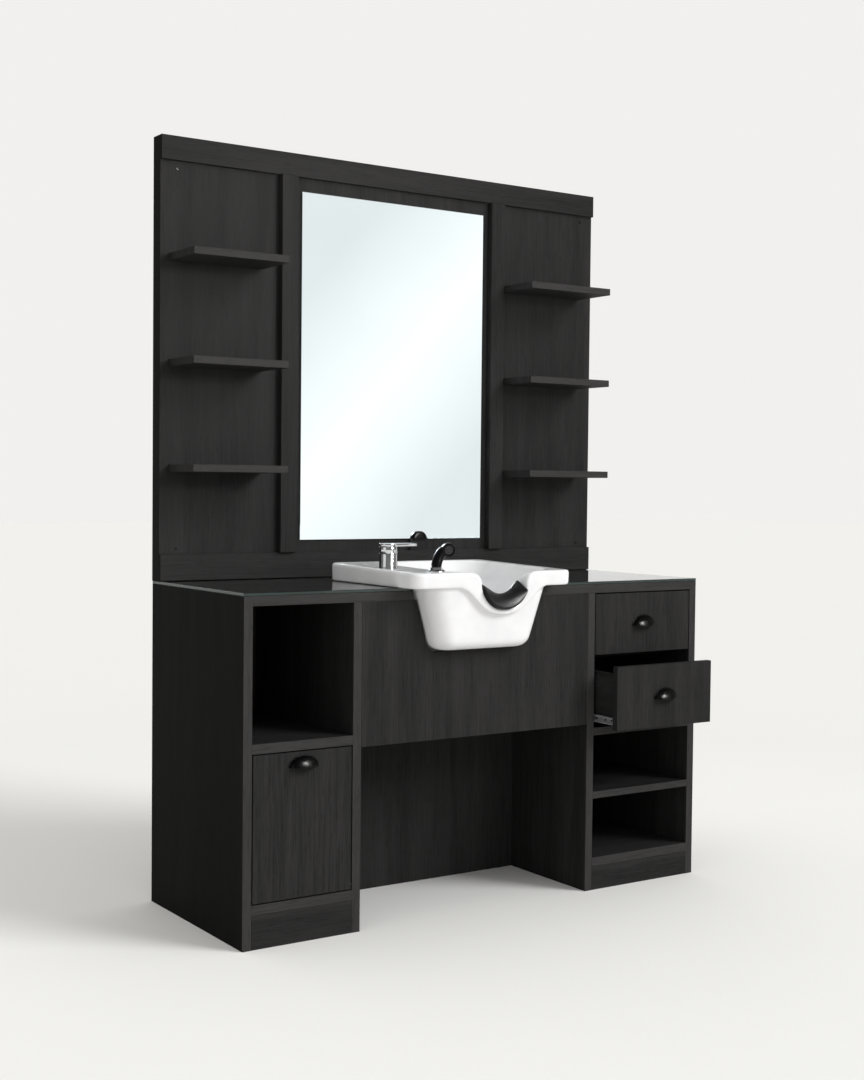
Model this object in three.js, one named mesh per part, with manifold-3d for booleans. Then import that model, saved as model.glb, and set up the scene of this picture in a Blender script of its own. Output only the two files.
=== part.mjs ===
// Salon wash and styling station in black stained wood-grain board: two pedestals under a glass top, a
// front-overhanging ceramic wash bowl, and a tall mirror panel with open shelves. Millimetres, +Z up.
// The working frame has x = 0 on the centre line, y = 0 on the cabinet's front plane and z = 0 on the floor.
import * as THREE from "three";
import Module from "manifold-3d";
import { mergeVertices } from "three/addons/utils/BufferGeometryUtils.js";

const wasm = await Module();
wasm.setup();

// Carcass
const HALF_WIDTH = 750;
const BOARD = 25;
const ARRIS = 0.8;
const GAP = 0.3;
const BASE_BACK = 552;
const SHEET = 8;
const INNER_DEPTH = BASE_BACK - SHEET;
const GLASS_TOP = 885;
const GLASS = 8;
const COUNTER_TOP = GLASS_TOP - GLASS;
const COUNTER_BOTTOM = COUNTER_TOP - BOARD;
const PLINTH = 18;

// Left pedestal: hamper below, open compartment above
const LEFT_X = [-HALF_WIDTH + BOARD, -437];
const LEFT_BASE = 86;
const LEFT_SHELF = 486;

// Right pedestal: two drawers above two open compartments
const RIGHT_X = [362, HALF_WIDTH - BOARD];
const RIGHT_BASE = 68;
const RIGHT_SHELF = [263, 283];
const DIVIDER = [445, 467];
const CROSS_RAIL = [651.5, 673.5];
const CROSS_RAIL_Y = [120, 200];

// Kneehole between the pedestals
const KNEE_X = [LEFT_X[1] + BOARD, RIGHT_X[0] - BOARD];
const APRON_BOTTOM = 478;
const APRON = 18;
const KNEE_BACK_Y = [350, 366];
const SERVICE_X = [-392, 317];
const SERVICE_Z = [60, 800];
const SERVICE_CORNER = 20;

// Wash bowl
const RIM_X = [-304, 212];
const RIM_Y = [-84, 366];
const RIM_HEIGHT = 41;
const RIM_RISE = 10;
const RIM_CORNER = 30;
// Inset, height over the glass, and share of the rise to the back, up the rim's side
const RIM_SECTION = [
  [4, 0, 0],
  [1, 2, 0],
  [0, 6, 0.1],
  [0, 34, 0.85],
  [1, 38, 0.95],
  [3, 40.2, 1],
  [6.5, 41, 1],
];
const BODY_TOP = { x: [-250, 146], y: [-74, 315], corner: 50 };
const BODY_LOW = { x: [-202, 98], y: [-58, 240], corner: 40 };
const BOWL_BOTTOM = 718;
// Height and inset of the body's rounded foot
const BODY_FOOT = [
  [0, 30],
  [2, 18],
  [7, 10],
  [16, 4],
  [34, 0],
];
const BODY_OVERLAP = 5;
const NOTCH_X = -20;
const NOTCH_RADIUS = 74;
const NOTCH_LOW = 824;
const NOTCH_FLARE = 108;
const NOTCH_EASE = { out: 92, drop: 10 };
const NOTCH_CLEAR_TOP = 980;
const NOTCH_Y = [-130, -18];
// Two curves down the band's lower edge: out from the notch's middle, and height
const BAND_CURVE = [
  [138, 884],
  [112, 877],
  [98, 856],
  [74, 836],
  [54, 818],
  [28, 812],
  [0, 812],
];
const BAND_TOP = 900;
const BAND_BACK = -40;
const BAND_ROUND = 4;
const BASIN_FLOOR = 733;
// Spans in x and y, corner, height and share of the rise, up the basin's wall
const BASIN_SECTION = [
  [[-88, 48], [14, 200], 48, 733, 0],
  [[-112, 70], [-8, 220], 56, 736, 0],
  [[-128, 86], [-24, 236], 62, 745, 0],
  [[-136, 97], [-32, 246], 66, 760, 0],
  [[-150, 115], [-40, 274], 72, 820, 0],
  [[-160, 134], [-47, 300], 76, 882, 0],
  [[-166, 160], [-53, 314], 80, 910, 0.7],
  [[-169, 168], [-56, 318], 82, 922, 1],
  [[-174, 174], [-61, 323], 84, 926, 1],
  [[-174, 174], [-61, 323], 84, 946, 1],
];
const DRAIN = { x: -20, y: 150, radius: 21 };
const BOWL_CUT = { x: [-257, 153], depth: 322, corner: 40 };

// Fittings on the bowl's left deck
const MIXER = { x: -263, y: 115, radius: 24.5, flange: 26, seat: 929.6 };
const MIXER_SPLIT = 40;
const MIXER_CAP_TOP = 59;
const LEVER = { thick: 8, reach: 91, tip: 13, corner: 4, edge: 1.2 };
// Two curves along the lever's side, from its grip to the back of the cap
const LEVER_CURVE = [
  [50, 14],
  [30, 20],
  [8, 23],
  [-10, 25],
  [-24.5, 16],
  [-24.5, 0],
];
const STEM = { inner: 14, outer: 32, low: -0.48, high: 0.06, half: 7 };
const STEM_SLOT = { grow: 0.5, drop: 0.015, high: 0.3 };
const COLLAR = { x: -195, y: -15, radius: 24.5, height: 11.5, seat: 926.8 };
const SPIGOT = 10.5;
const SOCKET = 11;
const SPIGOT_DEPTH = 38;
const HANDLE = 12.4;
const HEAD_RADIUS = 18.6;

// Mirror panel
const PANEL_Y = [510, 555];
const PANEL_TOP = 2090;
const FRAME_Y = 500;
const STILE_FRONT = 488;
const TOP_RAIL = 2025;
const BOTTOM_RAIL = [886.5, 959];
const STILE_X = [339, 389];
const MIRROR_X = 317.5;
const MIRROR_Z = [993, 1986];
const MIRROR_THICK = 5;
const PORT_X = [57, 122];
const PORT_TOP = 1016;
const PORT_DEPTH = 12;
const PORT_WALL = 2.5;
const SHELF_TOPS = [1203, 1489, 1775];
const SHELF_THICK = 20;
const SHELF_FRONT = 350;
const SHELF_LEFT = [-723, -441];
const SHELF_RIGHT = [391, 698];
const PLATE_X = 300;
const PLATE_Z = [835, 945];
const PLATE_CORNER = 12;

// Drawers, drawn shut; the lower one stands open in the rest pose
const DRAWER_OPEN = 98;
const FRONT_THICK = 20;
const FRONT_X = [364.5, 722.5];
const UPPER_FRONT = [675, 849];
const LOWER_FRONT = [470, 650];
const SLIDE_GAP = 12.7;
const BOX_X = [RIGHT_X[0] + SLIDE_GAP, RIGHT_X[1] - SLIDE_GAP];
const BOX_BACK = 470;
const BOX_WALL = 12;
const BOX_LIFT = 11;
const BOX_DROP = 22;
const GROOVE = { up: 10, tall: 6.3, deep: 5 };
const SLIDE_UP = 24;
const SLIDE_LENGTH = 430;
const CABINET_SLIDE = { deep: 9.5, tall: 45 };
const DRAWER_SLIDE = { deep: 8.7, tall: 20 };
const SLIDE_STEEL = 1.2;

// Tilt-out hamper
const DOOR_X = [-722, -440];
const DOOR_Z = [114, 483];
const PIVOT = { y: 8, z: 126, radius: 3 };
const PIVOT_IN_PANEL = 11;
const BIN_X = [-704, -458];
const BIN_BACK = 280;
const BIN_FLOOR = 132;
const BIN_REACH = 345;
const BIN_WALL = 3;

// Cup pulls
const PULL = { half: 40, tall: 37, deep: 24, wall: 2.4, lip: 3, lipThick: 1.8 };
const HAMPER_PULL_Z = 453;

const stained = new THREE.MeshStandardMaterial({ color: 0x2e2d2d, roughness: 0.62 });
const edging = new THREE.MeshStandardMaterial({ color: 0x3a3a3a, roughness: 0.6 });
const clearGlass = new THREE.MeshStandardMaterial({ color: 0x9fb8b0, roughness: 0.05 });
const silvered = new THREE.MeshStandardMaterial({ color: 0xe6edf0, roughness: 0.03, metalness: 1 });
const ceramic = new THREE.MeshStandardMaterial({ color: 0xf5f5f6, roughness: 0.12 });
const chrome = new THREE.MeshStandardMaterial({ color: 0xd8d9da, roughness: 0.08, metalness: 1 });
const steel = new THREE.MeshStandardMaterial({ color: 0x77787a, roughness: 0.4, metalness: 1 });
const blackPlastic = new THREE.MeshStandardMaterial({ color: 0x121213, roughness: 0.35 });
const rubber = new THREE.MeshStandardMaterial({ color: 0x1a1a1b, roughness: 0.5 });
const blackMetal = new THREE.MeshStandardMaterial({ color: 0x151515, roughness: 0.28, metalness: 0.4 });
const pipePlastic = new THREE.MeshStandardMaterial({ color: 0xdcdcda, roughness: 0.45 });
const binPlastic = new THREE.MeshStandardMaterial({ color: 0x232324, roughness: 0.55 });

// Solid arithmetic
function toSolid(geometry) {
  const plain = geometry.clone();
  plain.deleteAttribute("normal");
  plain.deleteAttribute("uv");
  const merged = mergeVertices(plain, 1e-4);
  const index = merged.index.array;
  return new wasm.Manifold(
    new wasm.Mesh({
      numProp: 3,
      vertProperties: merged.attributes.position.array,
      triVerts: new Uint32Array(index),
    }),
  );
}

function toGeometry(solid) {
  const mesh = solid.getMesh();
  const geometry = new THREE.BufferGeometry();
  geometry.setAttribute("position", new THREE.BufferAttribute(mesh.vertProperties, 3));
  geometry.setIndex(new THREE.BufferAttribute(mesh.triVerts, 1));
  geometry.computeVertexNormals();
  return geometry;
}

function join(first, ...others) {
  return toGeometry(others.reduce((solid, g) => solid.add(toSolid(g)), toSolid(first)));
}

function cut(first, ...tools) {
  return toGeometry(tools.reduce((solid, g) => solid.subtract(toSolid(g)), toSolid(first)));
}

function common(first, second) {
  return toGeometry(toSolid(first).intersect(toSolid(second)));
}

// Flat stock
function rect([a0, a1], [b0, b1]) {
  const shape = new THREE.Shape();
  shape.moveTo(a0, b0);
  shape.lineTo(a1, b0);
  shape.lineTo(a1, b1);
  shape.lineTo(a0, b1);
  shape.closePath();
  return shape;
}

function roundedRect([a0, a1], [b0, b1], r) {
  const shape = new THREE.Shape();
  shape.moveTo(a0 + r, b0);
  shape.lineTo(a1 - r, b0);
  shape.absarc(a1 - r, b0 + r, r, -Math.PI / 2, 0, false);
  shape.lineTo(a1, b1 - r);
  shape.absarc(a1 - r, b1 - r, r, 0, Math.PI / 2, false);
  shape.lineTo(a0 + r, b1);
  shape.absarc(a0 + r, b1 - r, r, Math.PI / 2, Math.PI, false);
  shape.lineTo(a0, b0 + r);
  shape.absarc(a0 + r, b0 + r, r, Math.PI, Math.PI * 1.5, false);
  return shape;
}

// A flat piece with eased edges, its faces at 0 and at its thickness
function prism(shape, thickness, arris = ARRIS, curveSegments = 10) {
  const geometry = new THREE.ExtrudeGeometry(shape, {
    depth: thickness - 2 * arris,
    bevelEnabled: arris > 0,
    bevelThickness: arris,
    bevelSize: arris,
    bevelOffset: -arris,
    bevelSegments: 1,
    curveSegments,
  });
  return geometry.translate(0, 0, arris);
}

// Stands a piece drawn in x and z upright, its back face on the plane y
function facing(geometry, y) {
  return geometry.rotateX(Math.PI / 2).translate(0, y, 0);
}

// Stands a piece drawn in y and z upright, its left face on the plane x
function sideways(geometry, x) {
  const turn = new THREE.Matrix4().makeBasis(
    new THREE.Vector3(0, 1, 0),
    new THREE.Vector3(0, 0, 1),
    new THREE.Vector3(1, 0, 0),
  );
  return geometry.applyMatrix4(turn).translate(x, 0, 0);
}

function board(x, y, z, arris = ARRIS) {
  const spans = [x, y, z].map(([low, high]) => high - low);
  const thin = spans.indexOf(Math.min(...spans));
  if (thin === 0) return sideways(prism(rect(y, z), spans[0], arris), x[0]);
  if (thin === 1) return facing(prism(rect(x, z), spans[1], arris), y[1]);
  return prism(rect(x, y), spans[2], arris).translate(0, 0, z[0]);
}

// Round stock, standing on z
function rod(radius, length, segments = 24) {
  return new THREE.CylinderGeometry(radius, radius, length, segments)
    .rotateX(Math.PI / 2)
    .translate(0, 0, length / 2);
}

function turned(profile, segments = 32) {
  const points = profile.map(([r, z]) => new THREE.Vector2(r, z));
  return new THREE.LatheGeometry(points, segments).rotateX(Math.PI / 2);
}

function tube(points, radius, steps, segments = 16) {
  const section = new THREE.Shape();
  section.absarc(0, 0, radius, 0, Math.PI * 2, false);
  return new THREE.ExtrudeGeometry(section, {
    steps,
    extrudePath: new THREE.CatmullRomCurve3(points),
    bevelEnabled: false,
    curveSegments: segments / 2,
  });
}

// A closed skin over rings of equal length, each wound anticlockwise about the way they climb
function loft(rings) {
  const count = rings[0].length;
  const points = rings.flat();
  const faces = [];
  for (let i = 0; i < rings.length - 1; i++) {
    for (let j = 0; j < count; j++) {
      const a = i * count + j;
      const b = i * count + ((j + 1) % count);
      faces.push(a, b, b + count, a, b + count, a + count);
    }
  }
  const last = (rings.length - 1) * count;
  const centres = [rings[0], rings.at(-1)].map((ring) =>
    ring.reduce((sum, p) => sum.add(p), new THREE.Vector3()).divideScalar(count),
  );
  points.push(...centres);
  for (let j = 0; j < count; j++) {
    const next = (j + 1) % count;
    faces.push(points.length - 2, next, j);
    faces.push(points.length - 1, last + j, last + next);
  }
  const geometry = new THREE.BufferGeometry().setFromPoints(points);
  return geometry.setIndex(faces);
}

// A rounded rectangle at one level; lift gives each point its own height
function level([x0, x1], [y0, y1], r, z, lift = () => 0, perCorner = 7) {
  const corners = [
    [x1 - r, y1 - r, 0],
    [x0 + r, y1 - r, 1],
    [x0 + r, y0 + r, 2],
    [x1 - r, y0 + r, 3],
  ];
  return corners.flatMap(([cx, cy, quarter]) =>
    Array.from({ length: perCorner + 1 }, (_, i) => {
      const angle = (quarter + i / perCorner) * (Math.PI / 2);
      const x = cx + r * Math.cos(angle);
      const y = cy + r * Math.sin(angle);
      return new THREE.Vector3(x, y, z + lift(y));
    }),
  );
}

function inset([low, high], by) {
  return [low + by, high - by];
}

function mix(a, b, t) {
  return a + (b - a) * t;
}

const station = new THREE.Group();
station.name = "station";
const reachForward = DRAWER_OPEN + PULL.deep;
station.position.y = (reachForward - PANEL_Y[1]) / 2;

function add(parent, name, geometry, material) {
  const mesh = new THREE.Mesh(geometry, material);
  mesh.name = name;
  parent.add(mesh);
}

function group(name, parent = station) {
  const made = new THREE.Group();
  made.name = name;
  parent.add(made);
  return made;
}

// Carcass
const carcass = group("carcass");
const pivotLength = LEFT_X[1] - LEFT_X[0] + 2 * PIVOT_IN_PANEL;
const pivotStart = LEFT_X[0] - PIVOT_IN_PANEL;

function alongX(geometry, x, y, z) {
  return geometry.rotateY(Math.PI / 2).translate(x, y, z);
}

const pivotSocket = alongX(
  rod(PIVOT.radius + GAP, pivotLength + 2 * GAP),
  pivotStart - GAP,
  PIVOT.y,
  PIVOT.z,
);
const depth = [0, BASE_BACK];
const innerDepth = [0, INNER_DEPTH];
const leftEnd = board([-HALF_WIDTH, LEFT_X[0]], depth, [0, COUNTER_TOP]);
const leftInner = board([LEFT_X[1], KNEE_X[0]], innerDepth, [0, COUNTER_BOTTOM]);
add(carcass, "left_end_panel", cut(leftEnd, pivotSocket), stained);
add(carcass, "left_inner_panel", cut(leftInner, pivotSocket), stained);
add(carcass, "left_base_board", board(LEFT_X, innerDepth, [LEFT_BASE, LEFT_BASE + BOARD]), edging);
add(carcass, "left_plinth", board(LEFT_X, [0, PLINTH], [0, LEFT_BASE]), stained);
add(carcass, "left_fixed_shelf", board(LEFT_X, innerDepth, [LEFT_SHELF, LEFT_SHELF + BOARD]), edging);
add(carcass, "right_inner_panel", board([KNEE_X[1], RIGHT_X[0]], innerDepth, [0, COUNTER_BOTTOM]), stained);
add(carcass, "right_end_panel", board([RIGHT_X[1], HALF_WIDTH], depth, [0, COUNTER_TOP]), stained);
add(carcass, "right_base_board", board(RIGHT_X, innerDepth, [RIGHT_BASE, RIGHT_BASE + BOARD]), edging);
add(carcass, "right_plinth", board(RIGHT_X, [0, PLINTH], [0, RIGHT_BASE]), stained);
add(carcass, "right_fixed_shelf", board(RIGHT_X, innerDepth, RIGHT_SHELF), edging);
add(carcass, "drawer_divider", board(RIGHT_X, innerDepth, DIVIDER), edging);
add(carcass, "drawer_cross_rail", board(RIGHT_X, CROSS_RAIL_Y, CROSS_RAIL), stained);

// Rear sheet, open behind the kneehole for the pipework
const rearShape = rect(inset([-HALF_WIDTH, HALF_WIDTH], BOARD), [0, COUNTER_BOTTOM]);
rearShape.holes.push(roundedRect(SERVICE_X, SERVICE_Z, SERVICE_CORNER));
add(carcass, "base_back_panel", facing(prism(rearShape, SHEET, 0), BASE_BACK), stained);

// Counter board and glass share a notch that opens to the front for the bowl
function notchedTop(half) {
  const { x, depth: back, corner } = BOWL_CUT;
  const shape = new THREE.Shape();
  shape.moveTo(-half, 0);
  shape.lineTo(x[0], 0);
  shape.lineTo(x[0], back - corner);
  shape.absarc(x[0] + corner, back - corner, corner, Math.PI, Math.PI / 2, true);
  shape.lineTo(x[1] - corner, back);
  shape.absarc(x[1] - corner, back - corner, corner, Math.PI / 2, 0, true);
  shape.lineTo(x[1], 0);
  shape.lineTo(half, 0);
  shape.lineTo(half, BASE_BACK);
  shape.lineTo(-half, BASE_BACK);
  shape.closePath();
  return shape;
}

const counter = prism(notchedTop(HALF_WIDTH - BOARD), BOARD).translate(0, 0, COUNTER_BOTTOM);
const glass = prism(notchedTop(HALF_WIDTH), GLASS, 1).translate(0, 0, COUNTER_TOP);
add(carcass, "counter_board", counter, stained);
add(carcass, "glass_top", glass, clearGlass);

// Apron, cut away around the bowl's tapering body
function bodyAt(z) {
  const t = (GLASS_TOP - z) / (GLASS_TOP - BOWL_BOTTOM);
  return {
    x: [0, 1].map((i) => mix(BODY_TOP.x[i], BODY_LOW.x[i], t)),
    y: [0, 1].map((i) => mix(BODY_TOP.y[i], BODY_LOW.y[i], t)),
    corner: mix(BODY_TOP.corner, BODY_LOW.corner, t),
  };
}

const APRON_CLEAR = 5;
const APRON_CORNER = 40;
const cutTop = inset(bodyAt(COUNTER_BOTTOM).x, -APRON_CLEAR);
const cutLow = inset(bodyAt(BOWL_BOTTOM + APRON_CORNER).x, -APRON_CLEAR);
const cutFloor = BOWL_BOTTOM - APRON_CLEAR;
const apronShape = new THREE.Shape();
apronShape.moveTo(KNEE_X[0], APRON_BOTTOM);
apronShape.lineTo(KNEE_X[1], APRON_BOTTOM);
apronShape.lineTo(KNEE_X[1], COUNTER_BOTTOM);
apronShape.lineTo(cutTop[1], COUNTER_BOTTOM);
apronShape.lineTo(cutLow[1], BOWL_BOTTOM + APRON_CORNER);
apronShape.quadraticCurveTo(cutLow[1] - APRON_CLEAR, cutFloor, cutLow[1] - APRON_CORNER, cutFloor);
apronShape.lineTo(cutLow[0] + APRON_CORNER, cutFloor);
apronShape.quadraticCurveTo(cutLow[0] + APRON_CLEAR, cutFloor, cutLow[0], BOWL_BOTTOM + APRON_CORNER);
apronShape.lineTo(cutTop[0], COUNTER_BOTTOM);
apronShape.lineTo(KNEE_X[0], COUNTER_BOTTOM);
apronShape.closePath();
add(carcass, "apron_panel", facing(prism(apronShape, APRON), APRON), stained);

// Waste pipe: a swan neck from under the drain to the wall behind the kneehole
const PIPE = { radius: 20, bore: 17.5, top: 690, low: 640, bend: 40, out: 680, turn: 30, end: 430 };
const NUT = { radius: 26, low: 684, high: 714 };

function wastePath(extra) {
  const { y } = DRAIN;
  const points = [[y, PIPE.top + extra], [y, mix(PIPE.top, PIPE.low, 0.5)]];
  const BEND_STEPS = 8;
  for (let i = 0; i <= BEND_STEPS; i++) {
    const a = Math.PI + (i / BEND_STEPS) * Math.PI;
    points.push([y + PIPE.bend * (1 + Math.cos(a)), PIPE.low + PIPE.bend * Math.sin(a)]);
  }
  const turnY = y + 2 * PIPE.bend + PIPE.turn;
  const TURN_STEPS = 4;
  for (let i = 0; i <= TURN_STEPS; i++) {
    const a = Math.PI - (i / TURN_STEPS) * (Math.PI / 2);
    points.push([turnY + PIPE.turn * Math.cos(a), PIPE.out - PIPE.turn + PIPE.turn * Math.sin(a)]);
  }
  points.push([mix(turnY, PIPE.end, 0.5), PIPE.out], [PIPE.end + extra, PIPE.out]);
  return points.map(([py, pz]) => new THREE.Vector3(DRAIN.x, py, pz));
}

const kneeBack = board(KNEE_X, KNEE_BACK_Y, [0, COUNTER_BOTTOM]);
const PIPE_CLEAR = 3;
const THROUGH = 50;
const pipeHole = rod(PIPE.radius + PIPE_CLEAR, 2 * THROUGH).rotateX(-Math.PI / 2);
pipeHole.translate(DRAIN.x, KNEE_BACK_Y[0] - THROUGH, PIPE.out);
add(carcass, "kneehole_back", cut(kneeBack, pipeHole), stained);

// Wash bowl
const bowlSet = group("bowl_set");
const rise = (y) => (RIM_RISE * (y - RIM_Y[0])) / (RIM_Y[1] - RIM_Y[0]);
const part = (share) => (y) => share * rise(y);

const rimTop = GLASS_TOP + RIM_HEIGHT;
const rim = loft(
  RIM_SECTION.map(([by, up, share]) =>
    level(inset(RIM_X, by), inset(RIM_Y, by), RIM_CORNER, GLASS_TOP + up, part(share)),
  ),
);

const LEAST_CORNER = 20;

function bodyLevel(z, by) {
  const { x, y, corner } = bodyAt(z);
  return level(inset(x, by), inset(y, by), Math.max(corner - by / 2, LEAST_CORNER), z);
}

const bodyFoot = BODY_FOOT.map(([up, by]) => bodyLevel(BOWL_BOTTOM + up, by));
const body = loft([...bodyFoot, bodyLevel(GLASS_TOP + BODY_OVERLAP, 0)]);

// Runs a shape on through cubic curves, three points to each
function curveOn(shape, points) {
  for (let i = 0; i < points.length; i += 3) {
    shape.bezierCurveTo(...points[i], ...points[i + 1], ...points[i + 2]);
  }
}

// The rim's band dips around the neck notch as a rolled collar
const bandLeft = BAND_CURVE.map(([out, z]) => [NOTCH_X - out, z]);
const bandRight = BAND_CURVE.map(([out, z]) => [NOTCH_X + out, z]).reverse();
const bandShape = new THREE.Shape();
bandShape.moveTo(bandLeft[0][0], BAND_TOP);
bandShape.lineTo(...bandLeft[0]);
curveOn(bandShape, bandLeft.slice(1));
curveOn(bandShape, bandRight.slice(1));
bandShape.lineTo(bandRight.at(-1)[0], BAND_TOP);
bandShape.closePath();
const band = facing(prism(bandShape, BAND_BACK - RIM_Y[0], BAND_ROUND, 8), BAND_BACK);

const notchCentre = NOTCH_LOW + NOTCH_RADIUS;
const notchShape = new THREE.Shape();
notchShape.moveTo(NOTCH_X - NOTCH_FLARE, NOTCH_CLEAR_TOP);
notchShape.lineTo(NOTCH_X - NOTCH_FLARE, rimTop);
notchShape.bezierCurveTo(
  NOTCH_X - NOTCH_EASE.out, rimTop,
  NOTCH_X - NOTCH_RADIUS, rimTop - NOTCH_EASE.drop,
  NOTCH_X - NOTCH_RADIUS, notchCentre,
);
notchShape.absarc(NOTCH_X, notchCentre, NOTCH_RADIUS, Math.PI, Math.PI * 2, false);
notchShape.bezierCurveTo(
  NOTCH_X + NOTCH_RADIUS, rimTop - NOTCH_EASE.drop,
  NOTCH_X + NOTCH_EASE.out, rimTop,
  NOTCH_X + NOTCH_FLARE, rimTop,
);
notchShape.lineTo(NOTCH_X + NOTCH_FLARE, NOTCH_CLEAR_TOP);
notchShape.closePath();
const notch = facing(prism(notchShape, NOTCH_Y[1] - NOTCH_Y[0], 0, 14), NOTCH_Y[1]);

// Basin, falling to the drain; the deck for the fittings is left on its left side
const basin = loft(BASIN_SECTION.map(([x, y, corner, z, share]) => level(x, y, corner, z, part(share))));
const SEAT_CLEAR = 0.5;
const SEAT_SIDES = 40;
const ABOVE = 10;
const SOCKET_SPARE = 2;

function seat({ x, y, seat: z }, radius) {
  return rod(radius + SEAT_CLEAR, 2 * ABOVE, SEAT_SIDES).translate(x, y, z);
}

const mixerSeat = seat(MIXER, MIXER.flange);
const collarSeat = seat(COLLAR, COLLAR.radius);
const handsetSocket = rod(SOCKET, SPIGOT_DEPTH + SOCKET_SPARE + ABOVE);
handsetSocket.translate(COLLAR.x, COLLAR.y, COLLAR.seat - SPIGOT_DEPTH - SOCKET_SPARE);
const drainHole = rod(DRAIN.radius, 3 * LEAST_CORNER).translate(DRAIN.x, DRAIN.y, BOWL_BOTTOM - LEAST_CORNER);
const bowl = cut(join(rim, body, band), basin, notch, mixerSeat, collarSeat, handsetSocket, drainHole);
add(bowlSet, "bowl", bowl, ceramic);

// Neck rest: a rubber saddle laid in the notch, low at the front and rising to a ridge
const REST_ARC = 1.36;
const REST_STEPS = 22;
const REST_TIP = 0.45;
const restProfile = [
  [-45, 0],
  [-44, 10],
  [-47, 21],
  [-53, 25],
  [-61, 23.5],
  [-71, 17],
  [-82, 9.5],
  [-89, 6],
  [-92, 3.5],
  [-92, 1.5],
  [-90, 0],
];
const restRings = Array.from({ length: REST_STEPS + 1 }, (_, i) => {
  const angle = mix(-REST_ARC, REST_ARC, i / REST_STEPS);
  const fullness = 1 - REST_TIP * (angle / REST_ARC) ** 2;
  return restProfile.map(([y, inward]) => {
    const radius = NOTCH_RADIUS - GAP - inward * fullness;
    return new THREE.Vector3(
      NOTCH_X + radius * Math.sin(angle),
      y,
      notchCentre - radius * Math.cos(angle),
    );
  });
});
add(bowlSet, "neck_rest", loft(restRings), rubber);

// Drain strainer and waste pipe
const STRAINER = {
  flange: 30,
  thick: 3,
  spigot: DRAIN.radius - GAP,
  bore: 17,
  low: 700,
  slope: 1.5,
  under: 1,
};
const STRAINER_HOLE = { count: 6, ring: 10.5, radius: 3.5, through: 6 };
const strainerBody = turned([
  [STRAINER.bore, STRAINER.low],
  [STRAINER.spigot, STRAINER.low],
  [STRAINER.spigot, BASIN_FLOOR],
  [STRAINER.flange, BASIN_FLOOR],
  [STRAINER.flange - STRAINER.slope, BASIN_FLOOR + STRAINER.thick],
  [0, BASIN_FLOOR + STRAINER.slope],
  [0, BASIN_FLOOR - STRAINER.under],
  [STRAINER.bore, BASIN_FLOOR - STRAINER.under],
  [STRAINER.bore, STRAINER.low],
]).translate(DRAIN.x, DRAIN.y, 0);
const strainerHoles = Array.from({ length: STRAINER_HOLE.count }, (_, i) => {
  const { count, ring, radius, through } = STRAINER_HOLE;
  const angle = (i / count) * Math.PI * 2;
  const x = DRAIN.x + ring * Math.cos(angle);
  const y = DRAIN.y + ring * Math.sin(angle);
  return rod(radius, 2 * through, 12).translate(x, y, BASIN_FLOOR - through);
});
add(bowlSet, "drain_strainer", cut(strainerBody, ...strainerHoles), chrome);

const nut = rod(NUT.radius, NUT.high - NUT.low, 12).translate(DRAIN.x, DRAIN.y, NUT.low);
const nutBore = rod(DRAIN.radius, NUT.high - PIPE.top + 5).translate(DRAIN.x, DRAIN.y, PIPE.top + 4);
const PIPE_STEPS = 30;
const PIPE_SIDES = 12;
const pipe = join(tube(wastePath(0), PIPE.radius, PIPE_STEPS, PIPE_SIDES), nut);
const pipeBore = tube(wastePath(14), PIPE.bore, PIPE_STEPS, PIPE_SIDES);
add(bowlSet, "waste_trap", cut(pipe, pipeBore, nutBore), pipePlastic);

// Single-lever mixer
const mixer = group("mixer", bowlSet);
mixer.position.set(MIXER.x, MIXER.y, MIXER.seat);
add(
  mixer,
  "mixer_body",
  turned([
    [0, 0],
    [MIXER.flange, 0],
    [MIXER.flange, 2.5],
    [MIXER.radius, 4.5],
    [MIXER.radius, MIXER_SPLIT - 1],
    [MIXER.radius - 1, MIXER_SPLIT],
    [0, MIXER_SPLIT],
  ], 40),
  chrome,
);
const leverLow = MIXER_CAP_TOP + GAP;

function stemSector(grow, low, high) {
  const shape = new THREE.Shape();
  shape.absarc(0, 0, STEM.outer + grow, low, high, false);
  shape.absarc(0, 0, STEM.inner - grow, high, low, true);
  shape.closePath();
  const wide = 2 * (STEM.half + grow);
  const sector = facing(prism(shape, wide, 0, 10), STEM.half + grow);
  return sector.translate(-MIXER.radius, 0, leverLow);
}

const capBlank = turned([
  [0, MIXER_SPLIT + GAP],
  [MIXER.radius - 1, MIXER_SPLIT + GAP],
  [MIXER.radius, MIXER_SPLIT + 1.3],
  [MIXER.radius, MIXER_CAP_TOP - 1.5],
  [MIXER.radius - 1.5, MIXER_CAP_TOP],
  [0, MIXER_CAP_TOP],
], 40);
const stemSlot = stemSector(STEM_SLOT.grow, STEM.low - STEM_SLOT.drop, STEM_SLOT.high);
add(mixer, "mixer_cap", cut(capBlank, stemSlot), chrome);
const { reach: grip, tip, corner: round } = LEVER;
const leverFar = LEVER_CURVE.map(([x, y]) => [x, -y]).reverse();
const leverShape = new THREE.Shape();
leverShape.moveTo(grip - round, -tip);
leverShape.quadraticCurveTo(grip, -tip, grip, -tip + round);
leverShape.lineTo(grip, tip - round);
leverShape.quadraticCurveTo(grip, tip, grip - round, tip);
curveOn(leverShape, LEVER_CURVE);
curveOn(leverShape, [...leverFar.slice(1), [grip - round, -tip]]);
const leverPlate = prism(leverShape, LEVER.thick, LEVER.edge, 8).translate(0, 0, leverLow);
add(mixer, "mixer_lever", join(leverPlate, stemSector(0, STEM.low, STEM.high)), chrome);

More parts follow.
